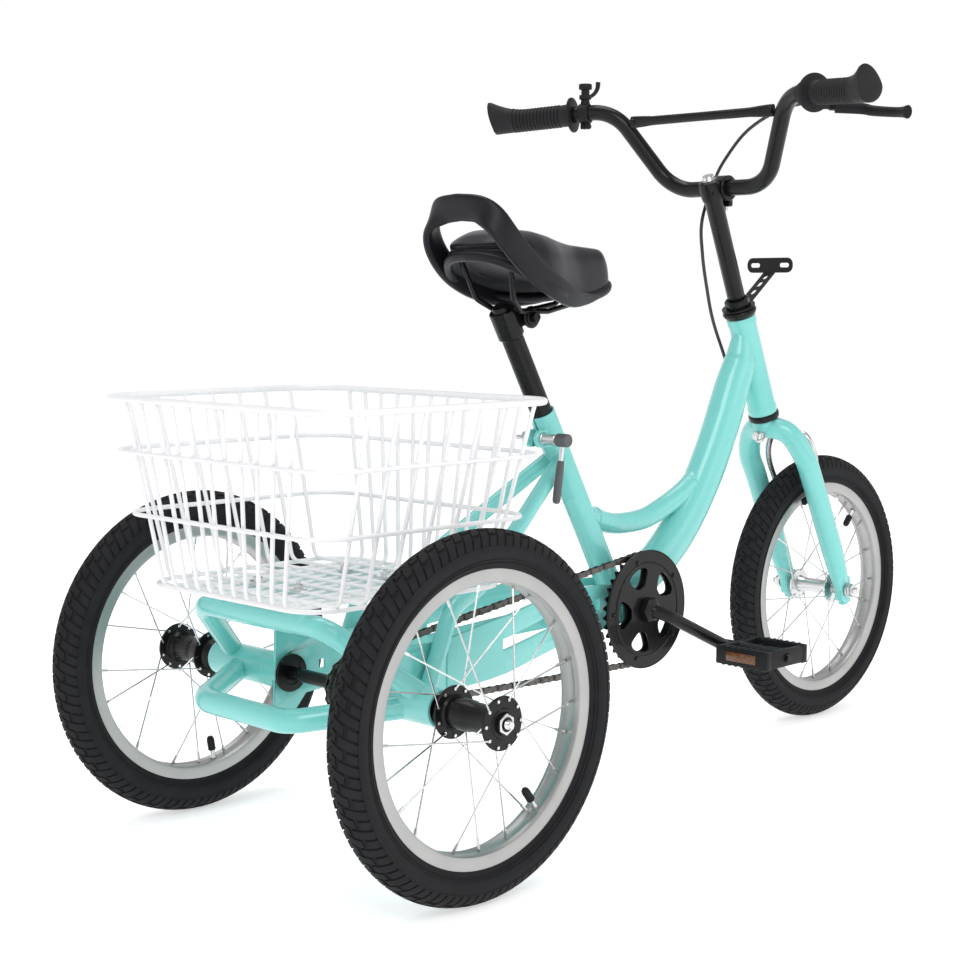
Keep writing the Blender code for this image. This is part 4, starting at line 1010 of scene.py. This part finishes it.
brake_pivot = mm(898, 0, 440)
for side, sign, x in (("left", 1, -0.005), ("right", -1, 0.005)):
    middle = brake_pivot + Vector((x, 0, 0))
    arm_route = eased([
        middle + shift(0, sign * -12, 10), middle, middle + shift(1, sign * 27, -6),
        middle + shift(9, sign * 38.5, -42), mm(922, sign * 28.5, 341),
    ], 8)
    arm = tube("arm", arm_route, 0.0042, 5, [0.85 + 0.35 * math.sin(math.pi * k / 32) for k in range(33)])
    eye = lathe("arm_eye", drum(8.4, -2.4, 2.4, 0.6, 0.6, 3.1), middle, Vector((1, 0, 0)), 36, True)
    shoe_at = mm(922, sign * 26.2, 341)
    post = tube("shoe_post", [shoe_at - ACROSS * sign * 0.002, shoe_at + ACROSS * sign * 0.0085], 0.0030, 4)
    nut = lathe("shoe_nut", [(0, 0), (5.2, 0), (5.2, 4), (4.4, 4.8), (0, 4.8)],
                shoe_at + ACROSS * sign * 0.0050, ACROSS * sign, 6)
    arm = together(arm, eye, post, nut, name=f"brake_arm_{side}_polished")
    finished(arm, bright, f"brake_arm_{side}", f"brake_arm_{side}")
    pad = block(f"brake_block_{side}", Vector((0, 0, 0)), (0.0170, 0.0034, 0.0046), 0.0012)
    pad.data.transform(Matrix.Translation(mm(922, sign * 22.4, 341)) @ Matrix.Rotation(-math.asin(0.352), 4, "Y"))
    finished(pad, cap_black, f"brake_arm_{side}")
bolt = tube("caliper_bolt", [mm(846, 0, 440), mm(912, 0, 440)], 0.0025, 4)
dome = lathe("dome_nut", [(0, 0), (6.2, 0), (6.2, 5.2), (5, 7), (0, 8.5)],
             mm(906.5, 0, 440), Vector((1, 0, 0)), 6)
spacer = lathe("spacer", [(0, 0), (8.5, 0), (8.5, 20), (0, 20)], mm(866, 0, 440), Vector((1, 0, 0)), 32)
rear_nut = lathe("crown_nut", [(0, 0), (10.5, 0), (10.5, 1.2), (7.2, 1.4), (7.2, 7.5), (5.8, 10), (0, 11.2)],
                 mm(826, 0, 438), Vector((-1, 0, 0)), 24)
finished(together(bolt, dome, spacer, rear_nut), bright, "steering")

CABLE_R = 0.0024
cable_route = eased([
    mm(694, -193, 887), mm(716, -140, 896), mm(727, -85, 888), mm(736, -35, 868),
    mm(745, 4, 838), mm(745, 26, 806), mm(719, 28, 747), mm(716, 24, 698),
    mm(730, 26, 650), mm(748, 30, 610), mm(772, 32, 569), mm(806, 34, 520),
    mm(850, 30, 487), mm(882, 18, 468), mm(893, 13.5, 452),
], 10)
cable_black = clouded(
    "cable_sheath", (40,), ((0.010, 0.010, 0.011), (0.026, 0.026, 0.028)), (0.30, 0.2), [((300,), 1)], 0.15,
    Coat_Weight=0.2, Coat_Roughness=0.2,
)
for name, route, first, second in (
    ("brake_cable_upper", cable_route[:60], "bars", "stem"),
    ("brake_cable_middle", cable_route[59:76], "stem", "steering"),
    ("brake_cable_at_head", cable_route[75:91], "steering", "frame"),
    ("brake_cable_lower", cable_route[90:], "frame", "steering"),
):
    cable = pick(tube(name, route, CABLE_R, 4))
    bpy.ops.object.shade_smooth_by_angle(angle=math.radians(40))
    cable.data.materials.append(cable_black)
    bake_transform(cable)
    cable.select_set(False)
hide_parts("brake_cable")
cable_end = cable_route[-5], cable_route[-1] + (cable_route[-1] - cable_route[-5]) * 0.4
ferrule = tube("cable_ferrule", cable_end, 0.0034, 4)
finished(ferrule, bright, "steering")


# ---- Stem ------------------------------------------------------------------------------------------------
# A tall black quill stem: a tube that slides in the steerer, a forged head with a clamp round the handlebar,
# a wedge bolt on top and a pinch bolt under the clamp.

bar_centre = mm(721, 0, 790)
quill = lathe("quill", [
    (0, -75), (11.8, -75), (12.7, -73), (12.7, 172), (15, 176), (15.8, 181), (15.8, 198), (15, 201.5), (12, 203.5),
    (0, 203.8),
], HEAD_TOP, STEER_UP, 56)
clamp = lathe("clamp", drum(17.6, -18.5, 18.5, 1.1, 1.3, 11.7), bar_centre, ACROSS, 56, True)
neck = box_piece("neck", bar_centre + shift(-30, -13.5, -13), bar_centre + shift(-8, 13.5, 9.5), 0.0040)
jaw = box_piece("jaw", bar_centre + shift(8, -12, -25), bar_centre + shift(17, 12, -7), 0.0025)
finished(together(quill, clamp, neck, jaw), black, "stem", "stem")
top_bolt = HEAD_TOP + STEER_UP * 0.2036
bolts = [
    lathe("bolt", [(0, 0), (9.5, 0), (9.5, 1.2), (7.8, 1.6), (7.8, 6.2), (6.8, 7.4), (0, 7.4)],
          top_bolt, STEER_UP, 36),
    tube("pinch", [bar_centre + shift(12.5, 0, -31), bar_centre + shift(12.5, 0, -4)], 0.0030, 4),
    lathe("pinch_head", [(0, 0), (5.2, 0), (5.2, 4.6), (4.4, 5.6), (0, 5.6)],
          bar_centre + shift(12.5, 0, -25.5), -UP, 6),
]
finished(together(*bolts, name="stem_bolts"), bright, "stem")


# ---- Handlebar -------------------------------------------------------------------------------------------
# One gloss black steel tube, bent up from the clamp and swept back to the grips, with a flattened crossbar
# screwed between its two risers.

BAR_R = 0.0111
BAR_LEAN = math.radians(25.4)


def bar_point(rise, sign, spread):
    """A point at a height up the bar's leaning middle and a distance out to one side."""
    lean = Vector((-math.sin(BAR_LEAN), 0, math.cos(BAR_LEAN)))
    return bar_centre + lean * rise + ACROSS * sign * spread


def grip_line(sign, share):
    """A point on the bar's outer stretch: 0 at its bend, 1 at its tip."""
    return bar_point(0.126, sign, 0.150) + shift(-65, sign * 172, -12) * share


bar_route = filleted([
    grip_line(1, 0.965), bar_point(0.126, 1, 0.150), bar_point(0, 1, 0.082),
    bar_point(0, -1, 0.082), bar_point(0.126, -1, 0.150), grip_line(-1, 0.965),
], 0.060, 18)
finished(tube("handlebar_bent", bar_route, BAR_R, 9), black, "bars", "handlebar")
ends = [bar_point(0.106, 1, 0.1235), bar_point(0.106, -1, 0.1235)]
rod_route = [ends[0].lerp(ends[1], t) for t in (0, 0.03, 0.09, 0.16, 0.5, 0.84, 0.91, 0.97, 1)]
brace = tube("crossbar_flattened", rod_route, 0.0062, 7)
for vertex in brace.data.vertices:
    closeness = max(0, (abs(vertex.co.y) - 0.080) / 0.030)
    centre_line = ends[0].lerp(ends[1], 0.5)
    vertex.co.z = centre_line.z + (vertex.co.z - centre_line.z) * (1 + 0.35 * min(1, closeness))
    vertex.co.x = centre_line.x + (vertex.co.x - centre_line.x) * (1 - 0.45 * min(1, closeness))
screws = [
    lathe("screw", [(0, 0), (4.2, 0), (4.8, 0.8), (4, 2.6), (0, 3.2)],
          bar_point(0.106, sign, 0.1195) + shift(-3, 0, 0), Vector((-1, 0, 0)), 20)
    for sign in (1, -1)
]
finished(together(brace, *screws), black, "bars", "crossbar")

grip_rubber = clouded(
    "grip_rubber", (35,), ((0.006, 0.006, 0.007), (0.016, 0.016, 0.018)), (0.50, 0.18),
    [((800, 2), 1), ((160, 2), 1)], 0.35, Specular_IOR_Level=0.28,
)
for side, sign in (("left", 1), ("right", -1)):
    inner, outer = grip_line(sign, 0.33), grip_line(sign, 1)
    along = (outer - inner).normalized()
    length = (outer - inner).length
    profile = [(11.8, 0), (23.5, 0), (25, 0.8), (25, 2.8), (23.5, 3.6), (17.2, 4.2), (16, 6), (15.8, 16)]
    tip = length / MM
    ring = 18
    while ring < tip * 0.74:
        profile += [(15, ring), (15, ring + 1.8), (16.3, ring + 2.6), (16.3, ring + 4.6)]
        ring += 5.4
    profile += [(15.8, tip * share) for share in (0.76, 0.80, 0.84, 0.88, 0.92, 0.96, 0.985)]
    profile += [(14, tip * 0.998), (8, tip + 1.2), (0, tip + 1.6)]
    grip = lathe(f"grip_{side}_moulded", profile, Vector((0, 0, 0)), UP, 48)
    for vertex in grip.data.vertices:
        share = vertex.co.z / length
        if share > 0.55:
            rise = min(1, (share - 0.55) / 0.42) ** 2.4
            facing = max(0, vertex.co.x) / 0.0160
            vertex.co.x += 0.0185 * rise * facing
            vertex.co.z += 0.0045 * rise * facing
            vertex.co.y *= 1 + 0.12 * rise
    lift = (UP * 0.80 - Vector((1, 0, 0)) * 0.60)
    lift = (lift - along * lift.dot(along)).normalized()
    other = along.cross(lift)
    grip.data.transform(basis(lift, other, along, inner))
    finished(tidy(grip), grip_rubber, "bars", f"grip_{side}", angle=32)


# ---- Brake lever -----------------------------------------------------------------------------------------
# A black clamp band on the bar inside the right grip carries the lever housing with its cable adjuster; the
# flat blade curves outwards under the grip to a rounded end.

perch_at = grip_line(-1, 0.245)
along = (grip_line(-1, 1) - perch_at).normalized()
lever_pivot = mm(684, -214, 884)
band_ring = lathe("clamp_band", drum(15, -7, 7, 0.5, 0.6, 11.7), perch_at, along, 40, True)
housing = tube("housing", eased([perch_at + shift(8, 0, -6),
                                 perch_at.lerp(lever_pivot, 0.6) + shift(2, 0, 2),
                                 lever_pivot + shift(1, 6, 8.5)]), 0.0058, 5)
lid = lathe("lid", [(0, 4.4), (8.5, 4.4), (9, 5.2), (8.5, 8.8), (0, 9.2)], lever_pivot, UP, 32)
adjuster = tube("adjuster", [mm(688, -205, 885.5), cable_route[0] + shift(1, 4, 0.4)], 0.0038, 5)
finished(together(band_ring, housing, lid, adjuster, name="lever_housing"), cap_black, "bars", "brake_perch")
blade_route = eased([
    lever_pivot, lever_pivot + shift(16, -30, -3), mm(700, -262, 877), mm(690, -300, 872),
    mm(680, -324, 870),
], 10)
shares = [k / (len(blade_route) - 1) for k in range(len(blade_route))]
blade = tube("lever_blade", blade_route, 0.0078, 7, [1.00 - 0.26 * share + 0.36 * share**10 for share in shares])
for vertex in blade.data.vertices:
    near = min(blade_route, key=lambda spot: (spot - vertex.co).length_squared)
    vertex.co.x = near.x + (vertex.co.x - near.x) * 0.66
barrel = lathe("lever_boss", [(0, -4), (7.8, -4), (8.5, -3.2), (8.5, 3), (7.8, 3.7), (0, 3.7)], lever_pivot, UP, 32)
finished(together(blade, barrel), cap_black, "brake_lever", "brake_lever")


# ---- Bell mount ------------------------------------------------------------------------------------------
# A small moulded clamp inside the left grip with a stub post, a flanged cap and a sprung thumb lever.

band_at = grip_line(1, 0.235)
along = (grip_line(1, 1) - band_at).normalized()
post_low = band_at + UP * 0.012
bell_band = lathe("bell_band", drum(14.2, -7.5, 7.5, 0.6, 0.7, 11.7), band_at, along, 40, True)
post = lathe("bell_post", [
    (0, 0), (7.5, 0), (6.6, 3), (6, 6), (6, 21.5), (9, 22), (9.5, 23), (9.5, 28.5), (8.5, 29.8), (0, 30),
], post_low, UP, 40)
pinch = tube("bell_screw", [band_at + shift(-6, 0, -17.5), band_at + shift(10, 0, -17.5)], 0.0035, 4)
lugs = box_piece("lugs", band_at + shift(-4, -6, -22), band_at + shift(6, 6, -11), 0.0010)
finished(together(bell_band, post, pinch, lugs), cap_black, "bars", "bell_mount")
hinge = post_low + UP * 0.011
collar = lathe("bell_collar", drum(8.8, -3, 3, 0.3, 0.4, 6.6), hinge, UP, 32, True)
thumb = tube("bell_thumb", eased([hinge + shift(7.8, 0, 0), hinge + shift(18, -2, 7),
                                  hinge + shift(23, -3, 15), hinge + shift(24, -3, 23)]), 0.0026, 5,
             [1 + 0.35 * k / 24 for k in range(25)])
finished(together(collar, thumb), cap_black, "bell_lever", "bell_lever")


# ---- Seat post and saddle clamp --------------------------------------------------------------------------
# A gloss black tube with a reduced neck slides in the seat tube. A pressed-steel clamp on the neck grips the
# saddle rails between two serrated discs on one cross bolt.

post = lathe("seat_post_tube", [
    (0, -115), (14.1, -115), (14.1, 108), (12.8, 112), (11.1, 113.5), (11.1, 153), (10.4, 154.5), (8, 155.6),
    (0, 156),
], SEAT_TOP, SEAT_UP, 56)
finished(post, black, "seat_post", "seat_post")
tilt_pivot = mm(322, 0, 614)
sleeve = lathe("sleeve", [(11.2, 112.5), (16.4, 112.5), (17, 113.2), (17, 147.5), (16, 148.7), (11.2, 148.7)],
               SEAT_TOP, SEAT_UP, 48, True)
knuckle = lathe("knuckle", drum(11, -16, 16, 0.8, 1), tilt_pivot, ACROSS, 40)
middle = SEAT_TOP + SEAT_UP * 0.130
arm = box_piece("arm", shift(0, -12.5, -9.5), Vector(((tilt_pivot - middle).length, 0.0125, 0.0095)), 0.0030)
toward = (tilt_pivot - middle).normalized()
upward = toward.cross(ACROSS) * -1
arm.data.transform(basis(toward, ACROSS, upward, middle))
finished(together(sleeve, knuckle, tidy(arm)), black, "seat_post", "saddle_clamp")

parts = [tube("clamp_bolt", [tilt_pivot - ACROSS * 0.0285, tilt_pivot + ACROSS * 0.0285], 0.0040, 5)]
for sign in (-1, 1):
    parts.append(lathe("disc", [
        (4.2, 16.8), (13.2, 16.8), (14, 17.6), (14, 19.6), (11.2, 20.4), (11.2, 22.6), (10, 23.5), (4.2, 23.5),
    ], tilt_pivot, ACROSS * sign, 24, True))
    parts.append(lathe("clamp_nut", [(4, 23.7), (7, 23.7), (7, 28.2), (6.2, 29), (4, 29)],
                       tilt_pivot, ACROSS * sign, 6, True))
    rail = filleted([
        mm(258, sign * 43, 686), mm(276, sign * 32, 636), mm(300, sign * 20.5, 621),
        mm(350, sign * 20.5, 621), mm(400, sign * 14, 630), mm(440, sign * 10, 664),
    ], 0.014, 8)
    parts.append(tube("rail", rail, 0.0035, 5))
finished(together(*parts, name="saddle_rails_bent"), black, "saddle", "saddle_rails")


# ---- Saddle ----------------------------------------------------------------------------------------------
# A wide, short foam saddle: one moulded skin, black with a soft violet sheen, over thick foam, pulled in along
# a sewn line round the back. Its plastic base ends in a thick rolled rim and is hollow underneath.

outline = [
    (226.5, 0, 689), (231, 29, 687), (243, 51, 680), (266, 70, 666), (295, 76, 652), (324, 70, 644), (354, 56, 640),
    (386, 42.5, 639), (422, 35.5, 642), (452, 28.5, 649.5), (469, 16, 656), (474, 0, 658.5),
]
spine = [
    (0.2265, 0.7060), (0.2450, 0.7155), (0.2700, 0.7212), (0.3000, 0.7208), (0.3300, 0.7165), (0.3600, 0.7105),
    (0.3900, 0.7055), (0.4250, 0.7030), (0.4550, 0.7010), (0.4740, 0.6960),
]


def saddle_height(x):
    """The height of the pad's ridge at a place along it."""
    for (x0, z0), (x1, z1) in zip(spine, spine[1:]):
        if x <= x1:
            t = max(0, (x - x0) / (x1 - x0))
            return z0 + (z1 - z0) * t
    return spine[-1][1]


def depth_share(p):
    """How much of the full hollow fits under the pad at a point of its rim."""
    return min(1, (saddle_height(p.x) - p.z) / 0.055)


def pad_middle(p, lift):
    """The point on the pad's middle line that a point of its rim draws in to."""
    return Vector((min(max(p.x, 0.272), 0.448), 0, p.z + lift))


half_rim = eased([shift(*point) for point in outline], 6)
rim_line = half_rim + [Vector((p.x, -p.y, p.z)) for p in half_rim[-2:0:-1]]
around = len(rim_line)
layers = [(0.86, None, 0.020), (0.93, None, 0.004), (0.985, None, -0.001)]
for k in range(1, 27):
    a = math.pi / 2 * k / 27
    layers.append((math.cos(a) ** 0.50, math.sin(a) ** 0.95, 0))
layers.append((0.0, 1.0, 0))
rows = []
for shrink, height, lift in layers:
    row = []
    for p in rim_line:
        inner = pad_middle(p, 0)
        rear = min(1, max(0, (0.285 - p.x) / 0.045))
        if height is None:
            row.append(inner.lerp(p, shrink) + UP * lift * depth_share(p))
            continue
        sewn = math.exp(-(((height - 0.46) / 0.050) ** 2)) * 0.075 * rear
        roll = math.exp(-(((height - 0.70) / 0.16) ** 2)) * 0.070 * rear
        spot = inner.lerp(p, shrink * (1 - sewn + roll))
        spot.z = p.z + (saddle_height(spot.x) - p.z) * height
        row.append(spot)
    rows.append(row)
rows.insert(0, [pad_middle(p, 0.024 * depth_share(p)) for p in rim_line])
mesh = bpy.data.meshes.new("saddle_pad")
points = [at(*spot) for row in rows for spot in row]
faces = [
    (i * around + k, i * around + (k + 1) % around, (i + 1) * around + (k + 1) % around, (i + 1) * around + k)
    for i in range(len(rows) - 1) for k in range(around)
]
mesh.from_pydata(points, [], faces)
pad = pick(added("saddle_pad", mesh))
bpy.ops.object.mode_set(mode="EDIT")
bpy.ops.mesh.select_all(action="SELECT")
bpy.ops.mesh.remove_doubles(threshold=0.0003)
bpy.ops.mesh.dissolve_degenerate(threshold=0.00005)
bpy.ops.mesh.normals_make_consistent(inside=False)
bpy.ops.object.mode_set(mode="OBJECT")
relax = pad.modifiers.new("relax", "SMOOTH")
relax.factor = 0.5
relax.iterations = 3
rounded = pad.modifiers.new("rounded", "SUBSURF")
rounded.levels = rounded.render_levels = 2
skin, place = new_finish("saddle_skin", Specular_IOR_Level=0.30, Sheen_Weight=0.06, Sheen_Roughness=0.4)
skin.node_tree.nodes["Principled BSDF"].inputs["Sheen Tint"].default_value = (0.55, 0.52, 0.70, 1)
cells = place.node("ShaderNodeTexVoronoi", {"feature": "DISTANCE_TO_EDGE"}, {"Vector": place, "Scale": 780})
cloud = place.noise(16)
set_look(skin, place.blend(cloud, (0.0035, 0.0034, 0.0046), (0.0085, 0.0078, 0.0115)), 0.28 + cloud * 0.12,
         cells * 1.2 + place.noise(240, 3) * 0.6, 0.28, 0.0003)
finished(pad, skin, "saddle", "saddle", angle=60)

shell_plastic = clouded(
    "saddle_base_plastic", (12,), ((0.0045, 0.0044, 0.0062), (0.0120, 0.0112, 0.0165)), (0.34, 0.15),
    [((700, 2), 1), ((60, 2), 1)], 0.16, 0.0003, Specular_IOR_Level=0.25,
)
rim = tube("saddle_rim", [at(*Vector((0.33, 0, p.z)).lerp(p, 0.985)) for p in rim_line], 0.0058, 5, closed=True)
for vertex in rim.data.vertices:
    near = min(rim_line, key=lambda spot: (at(*spot) - vertex.co).length_squared)
    vertex.co.z = near.z - 0.0005 + (vertex.co.z - near.z) * (1.25 if vertex.co.z < near.z else 0.9)
finished(rim, shell_plastic, "saddle")


# ---- Grab hoop -------------------------------------------------------------------------------------------
# A broad flat band of black plastic grows out of the saddle's lower rim on both sides and rises into one hoop
# behind the rider, open between the hoop and the pad.

hoop_knots = [
    (424, 37, 640.5, 4), (392, 46.5, 637, 8), (352, 60, 638.5, 12.5), (312, 70.5, 650, 15), (278, 73.5, 666, 16),
    (252, 71.5, 686, 16.5), (232, 65.5, 709, 16.8), (220.5, 53, 730, 17), (216, 32, 742.5, 17), (214.5, 0, 746, 17),
]
half_line = eased([shift(*knot[:3]) for knot in hoop_knots], 8)
half_width = eased([shift(knot[3], 0, 0) for knot in hoop_knots], 8)
hoop_line = [at(*p) for p in half_line] + [at(p.x, -p.y, p.z) for p in half_line[-2::-1]]
widths = [w.x for w in half_width] + [w.x for w in half_width[-2::-1]]
last = len(hoop_line) - 1
points, faces, ring = [], [], 24
for k, spot in enumerate(hoop_line):
    tangent = (hoop_line[min(k + 1, last)] - hoop_line[max(k - 1, 0)]).normalized()
    lean_back = max(0, 1 - abs(spot.y) / 0.075)
    outward = Vector((-0.94 * lean_back, 0, -0.33 * lean_back)) + ACROSS * spot.y / 0.075
    broad = tangent.cross(outward).normalized()
    outward = broad.cross(tangent).normalized()
    thick = 0.0062 * min(1, 0.55 + widths[k] / 0.030)
    for step in range(ring):
        a = math.tau * step / ring
        u = math.copysign(abs(math.cos(a)) ** 0.45, math.cos(a)) * widths[k]
        v = math.copysign(abs(math.sin(a)) ** 0.70, math.sin(a)) * thick * (1 - 0.18 * math.cos(a) ** 4)
        points.append(spot + broad * u + outward * v)
for k in range(last):
    for step in range(ring):
        b = (step + 1) % ring
        faces.append((k * ring + step, k * ring + b, (k + 1) * ring + b, (k + 1) * ring + step))
faces += [tuple(range(ring)), tuple(last * ring + step for step in range(ring))]
mesh = bpy.data.meshes.new("grab_hoop")
mesh.from_pydata(points, [], faces)
hoop = tidy(added("grab_hoop", mesh))
rounded = hoop.modifiers.new("rounded", "SUBSURF")
rounded.levels = rounded.render_levels = 1
finished(hoop, shell_plastic, "saddle", "backrest", angle=60)


# ---- Seat quick-release ----------------------------------------------------------------------------------
# A plated skewer through the seat tube's two ears draws them together. On the right is a long steel barrel, a
# grey plastic cap and a grey plastic handle that hangs from a bent wire; on the left is a hexagon nut.

cam_at = ear - ACROSS * 0.046
skewer = tube("skewer", [ear - ACROSS * 0.050, ear + ACROSS * 0.0335], 0.0028, 5)
barrel = lathe("skewer_barrel", [
    (0, -36), (6.8, -36), (7.5, -35.2), (7.5, -15), (8.2, -14.3), (8.2, -12.8), (7, -12.5), (0, -12.5),
], ear, ACROSS, 40)
nut = lathe("skewer_nut", [
    (0, 12.5), (10.5, 12.5), (10.5, 13.6), (9.2, 13.8), (9.2, 19.5), (7.8, 20.6), (0, 20.6),
], ear, ACROSS, 6)
finished(together(skewer, barrel, nut), bright, "frame", "seat_skewer")
grey = clouded(
    "grey_plastic", (30,), ((0.075, 0.075, 0.080), (0.115, 0.115, 0.122)), (0.42, 0.14),
    [((900, 2), 1), ((90, 2), 1)], 0.18, 0.0003, Specular_IOR_Level=0.45,
)
cap = lathe("release_cap", [
    (0, -55.5), (7.2, -55.5), (8.3, -54.5), (8.5, -53.5), (8.5, -38.5), (7.8, -37.6), (0, -37.5),
], ear, ACROSS, 40)
handle_end = cam_at + shift(1, 12, -80)
hang = (handle_end - cam_at).normalized()
sleeve_line = [cam_at + hang * along for along in (0.026, 0.029, 0.036, 0.060, 0.076, 0.080, 0.0815)]
sleeve = tube("release_sleeve", sleeve_line, 0.0050, 7, [0.72, 0.95, 1, 1.05, 1.05, 0.92, 0.6])
finished(together(cap, sleeve), grey, "quick_release", "seat_lever")
wire = tube("release_wire", eased([cam_at, cam_at + hang * 0.010, cam_at + hang * 0.030]), 0.0030, 4)
finished(wire, bright, "quick_release")


# ---- Wire basket -----------------------------------------------------------------------------------------
# Steel wires in thick white plastic coating, welded where they cross: U-shaped wires run down one side, over
# the floor and up the other, inside two rings and a heavier top rim. Four bolts hold it on the slatted rack.

coating = clouded(
    "white_coating", (20,), ((0.80, 0.80, 0.815), (0.90, 0.90, 0.91)), (0.26, 0.12),
    [((180, 2), 1), ((700, 2), 0.5)], 0.14, Coat_Weight=0.35, Coat_Roughness=0.12, Specular_IOR_Level=0.5,
)


def basket_ring(z, inset):
    """Corner line of the basket at a height: it narrows towards the floor."""
    share = (0.528 - z) / 0.218
    low, high = -0.168 + 0.018 * share + inset, 0.173 - 0.013 * share - inset
    half = 0.218 - 0.060 * share - inset
    corners = rounded_line((high - low) / 2, half, 0.049 - 0.004 * share, (low + high) / 2, count=10)
    return [at(x, y, z) for x, y in corners]


RIM_R, RING_R, WIRE_R = 0.0040, 0.0027, 0.0025
LONG_WIRES, CROSS_WIRES = 11, 7
RIM_Z = 524
wires = [
    tube("basket_wire", basket_ring(z, inset), radius, fineness, closed=True)
    for z, inset, radius, fineness in (
        (RIM_Z * MM, 0.0040, RIM_R, 5), (0.464, 0.0015, RING_R, 4),
        (0.393, 0.0015, RING_R, 4), (0.3135, 0.0080, RING_R, 4),
    )
]
for k in range(LONG_WIRES):
    y = -150 + 30 * k
    foot = y * 0.72
    corners = [mm(-163.3, y, RIM_Z), mm(-143.5, foot, 312.5), mm(153.5, foot, 312.5), mm(168.3, y, RIM_Z)]
    wires.append(tube("long_wire", filleted(corners, 0.014, 6), WIRE_R, 3))
for k in range(CROSS_WIRES):
    x = -118 + 40.3 * k
    foot = x * 0.90 + 1
    corners = [mm(x, -213.3, RIM_Z), mm(foot, -151.5, 316), mm(foot, 151.5, 316), mm(x, 213.3, RIM_Z)]
    wires.append(tube("cross_wire", filleted(corners, 0.014, 6), WIRE_R, 3))
finished(together(*wires, name="basket_wires"), coating, "frame", "basket")
fasteners = []
for x, y in ((-0.066, 0.036), (-0.066, -0.036), (0.062, 0.036), (0.062, -0.036)):
    spot = at(x, y, 0.3180)
    fasteners.append(lathe("basket_washer", drum(10.2, 0, 1.6, 0.4, 0.4, 3), spot, UP, 32, True))
    fasteners.append(lathe("basket_nut", [(0, 1.6), (5.8, 1.6), (5.8, 5.6), (4.8, 6.4), (0, 6.4)], spot, UP, 6))
    fasteners.append(tube("basket_bolt", [spot - UP * 0.022, spot + UP * 0.0095], 0.0026, 4))
finished(together(*fasteners, name="basket_fixings"), bright, "frame")


# ---- Finishes and size -----------------------------------------------------------------------------------
# Each piece's material is looked up in a table of the record's finishes: paint, rubber, plastic, plating, rim, chain
# or saddle skin.

slots = {
    "mint_gloss_paint": "mint_paint", "saddle_skin": "saddle_skin", "saddle_base_plastic": "black_plastic",
    "grey_plastic": "grey_plastic", "white_coating": "white_coating", "grip_rubber": "black_plastic",
    "cable_sheath": "black_plastic", black.name: "black_paint", rubber.name: "tyre_rubber", satin.name: "rim_silver",
    bright.name: "chrome", cap_black.name: "black_plastic", oiled.name: "chain_steel",
}
for piece in bpy.context.scene.objects:
    if piece.type == "MESH" and piece.name not in frame["nodes"] and piece.data.materials:
        name = slots.get(piece.data.materials[0].name)
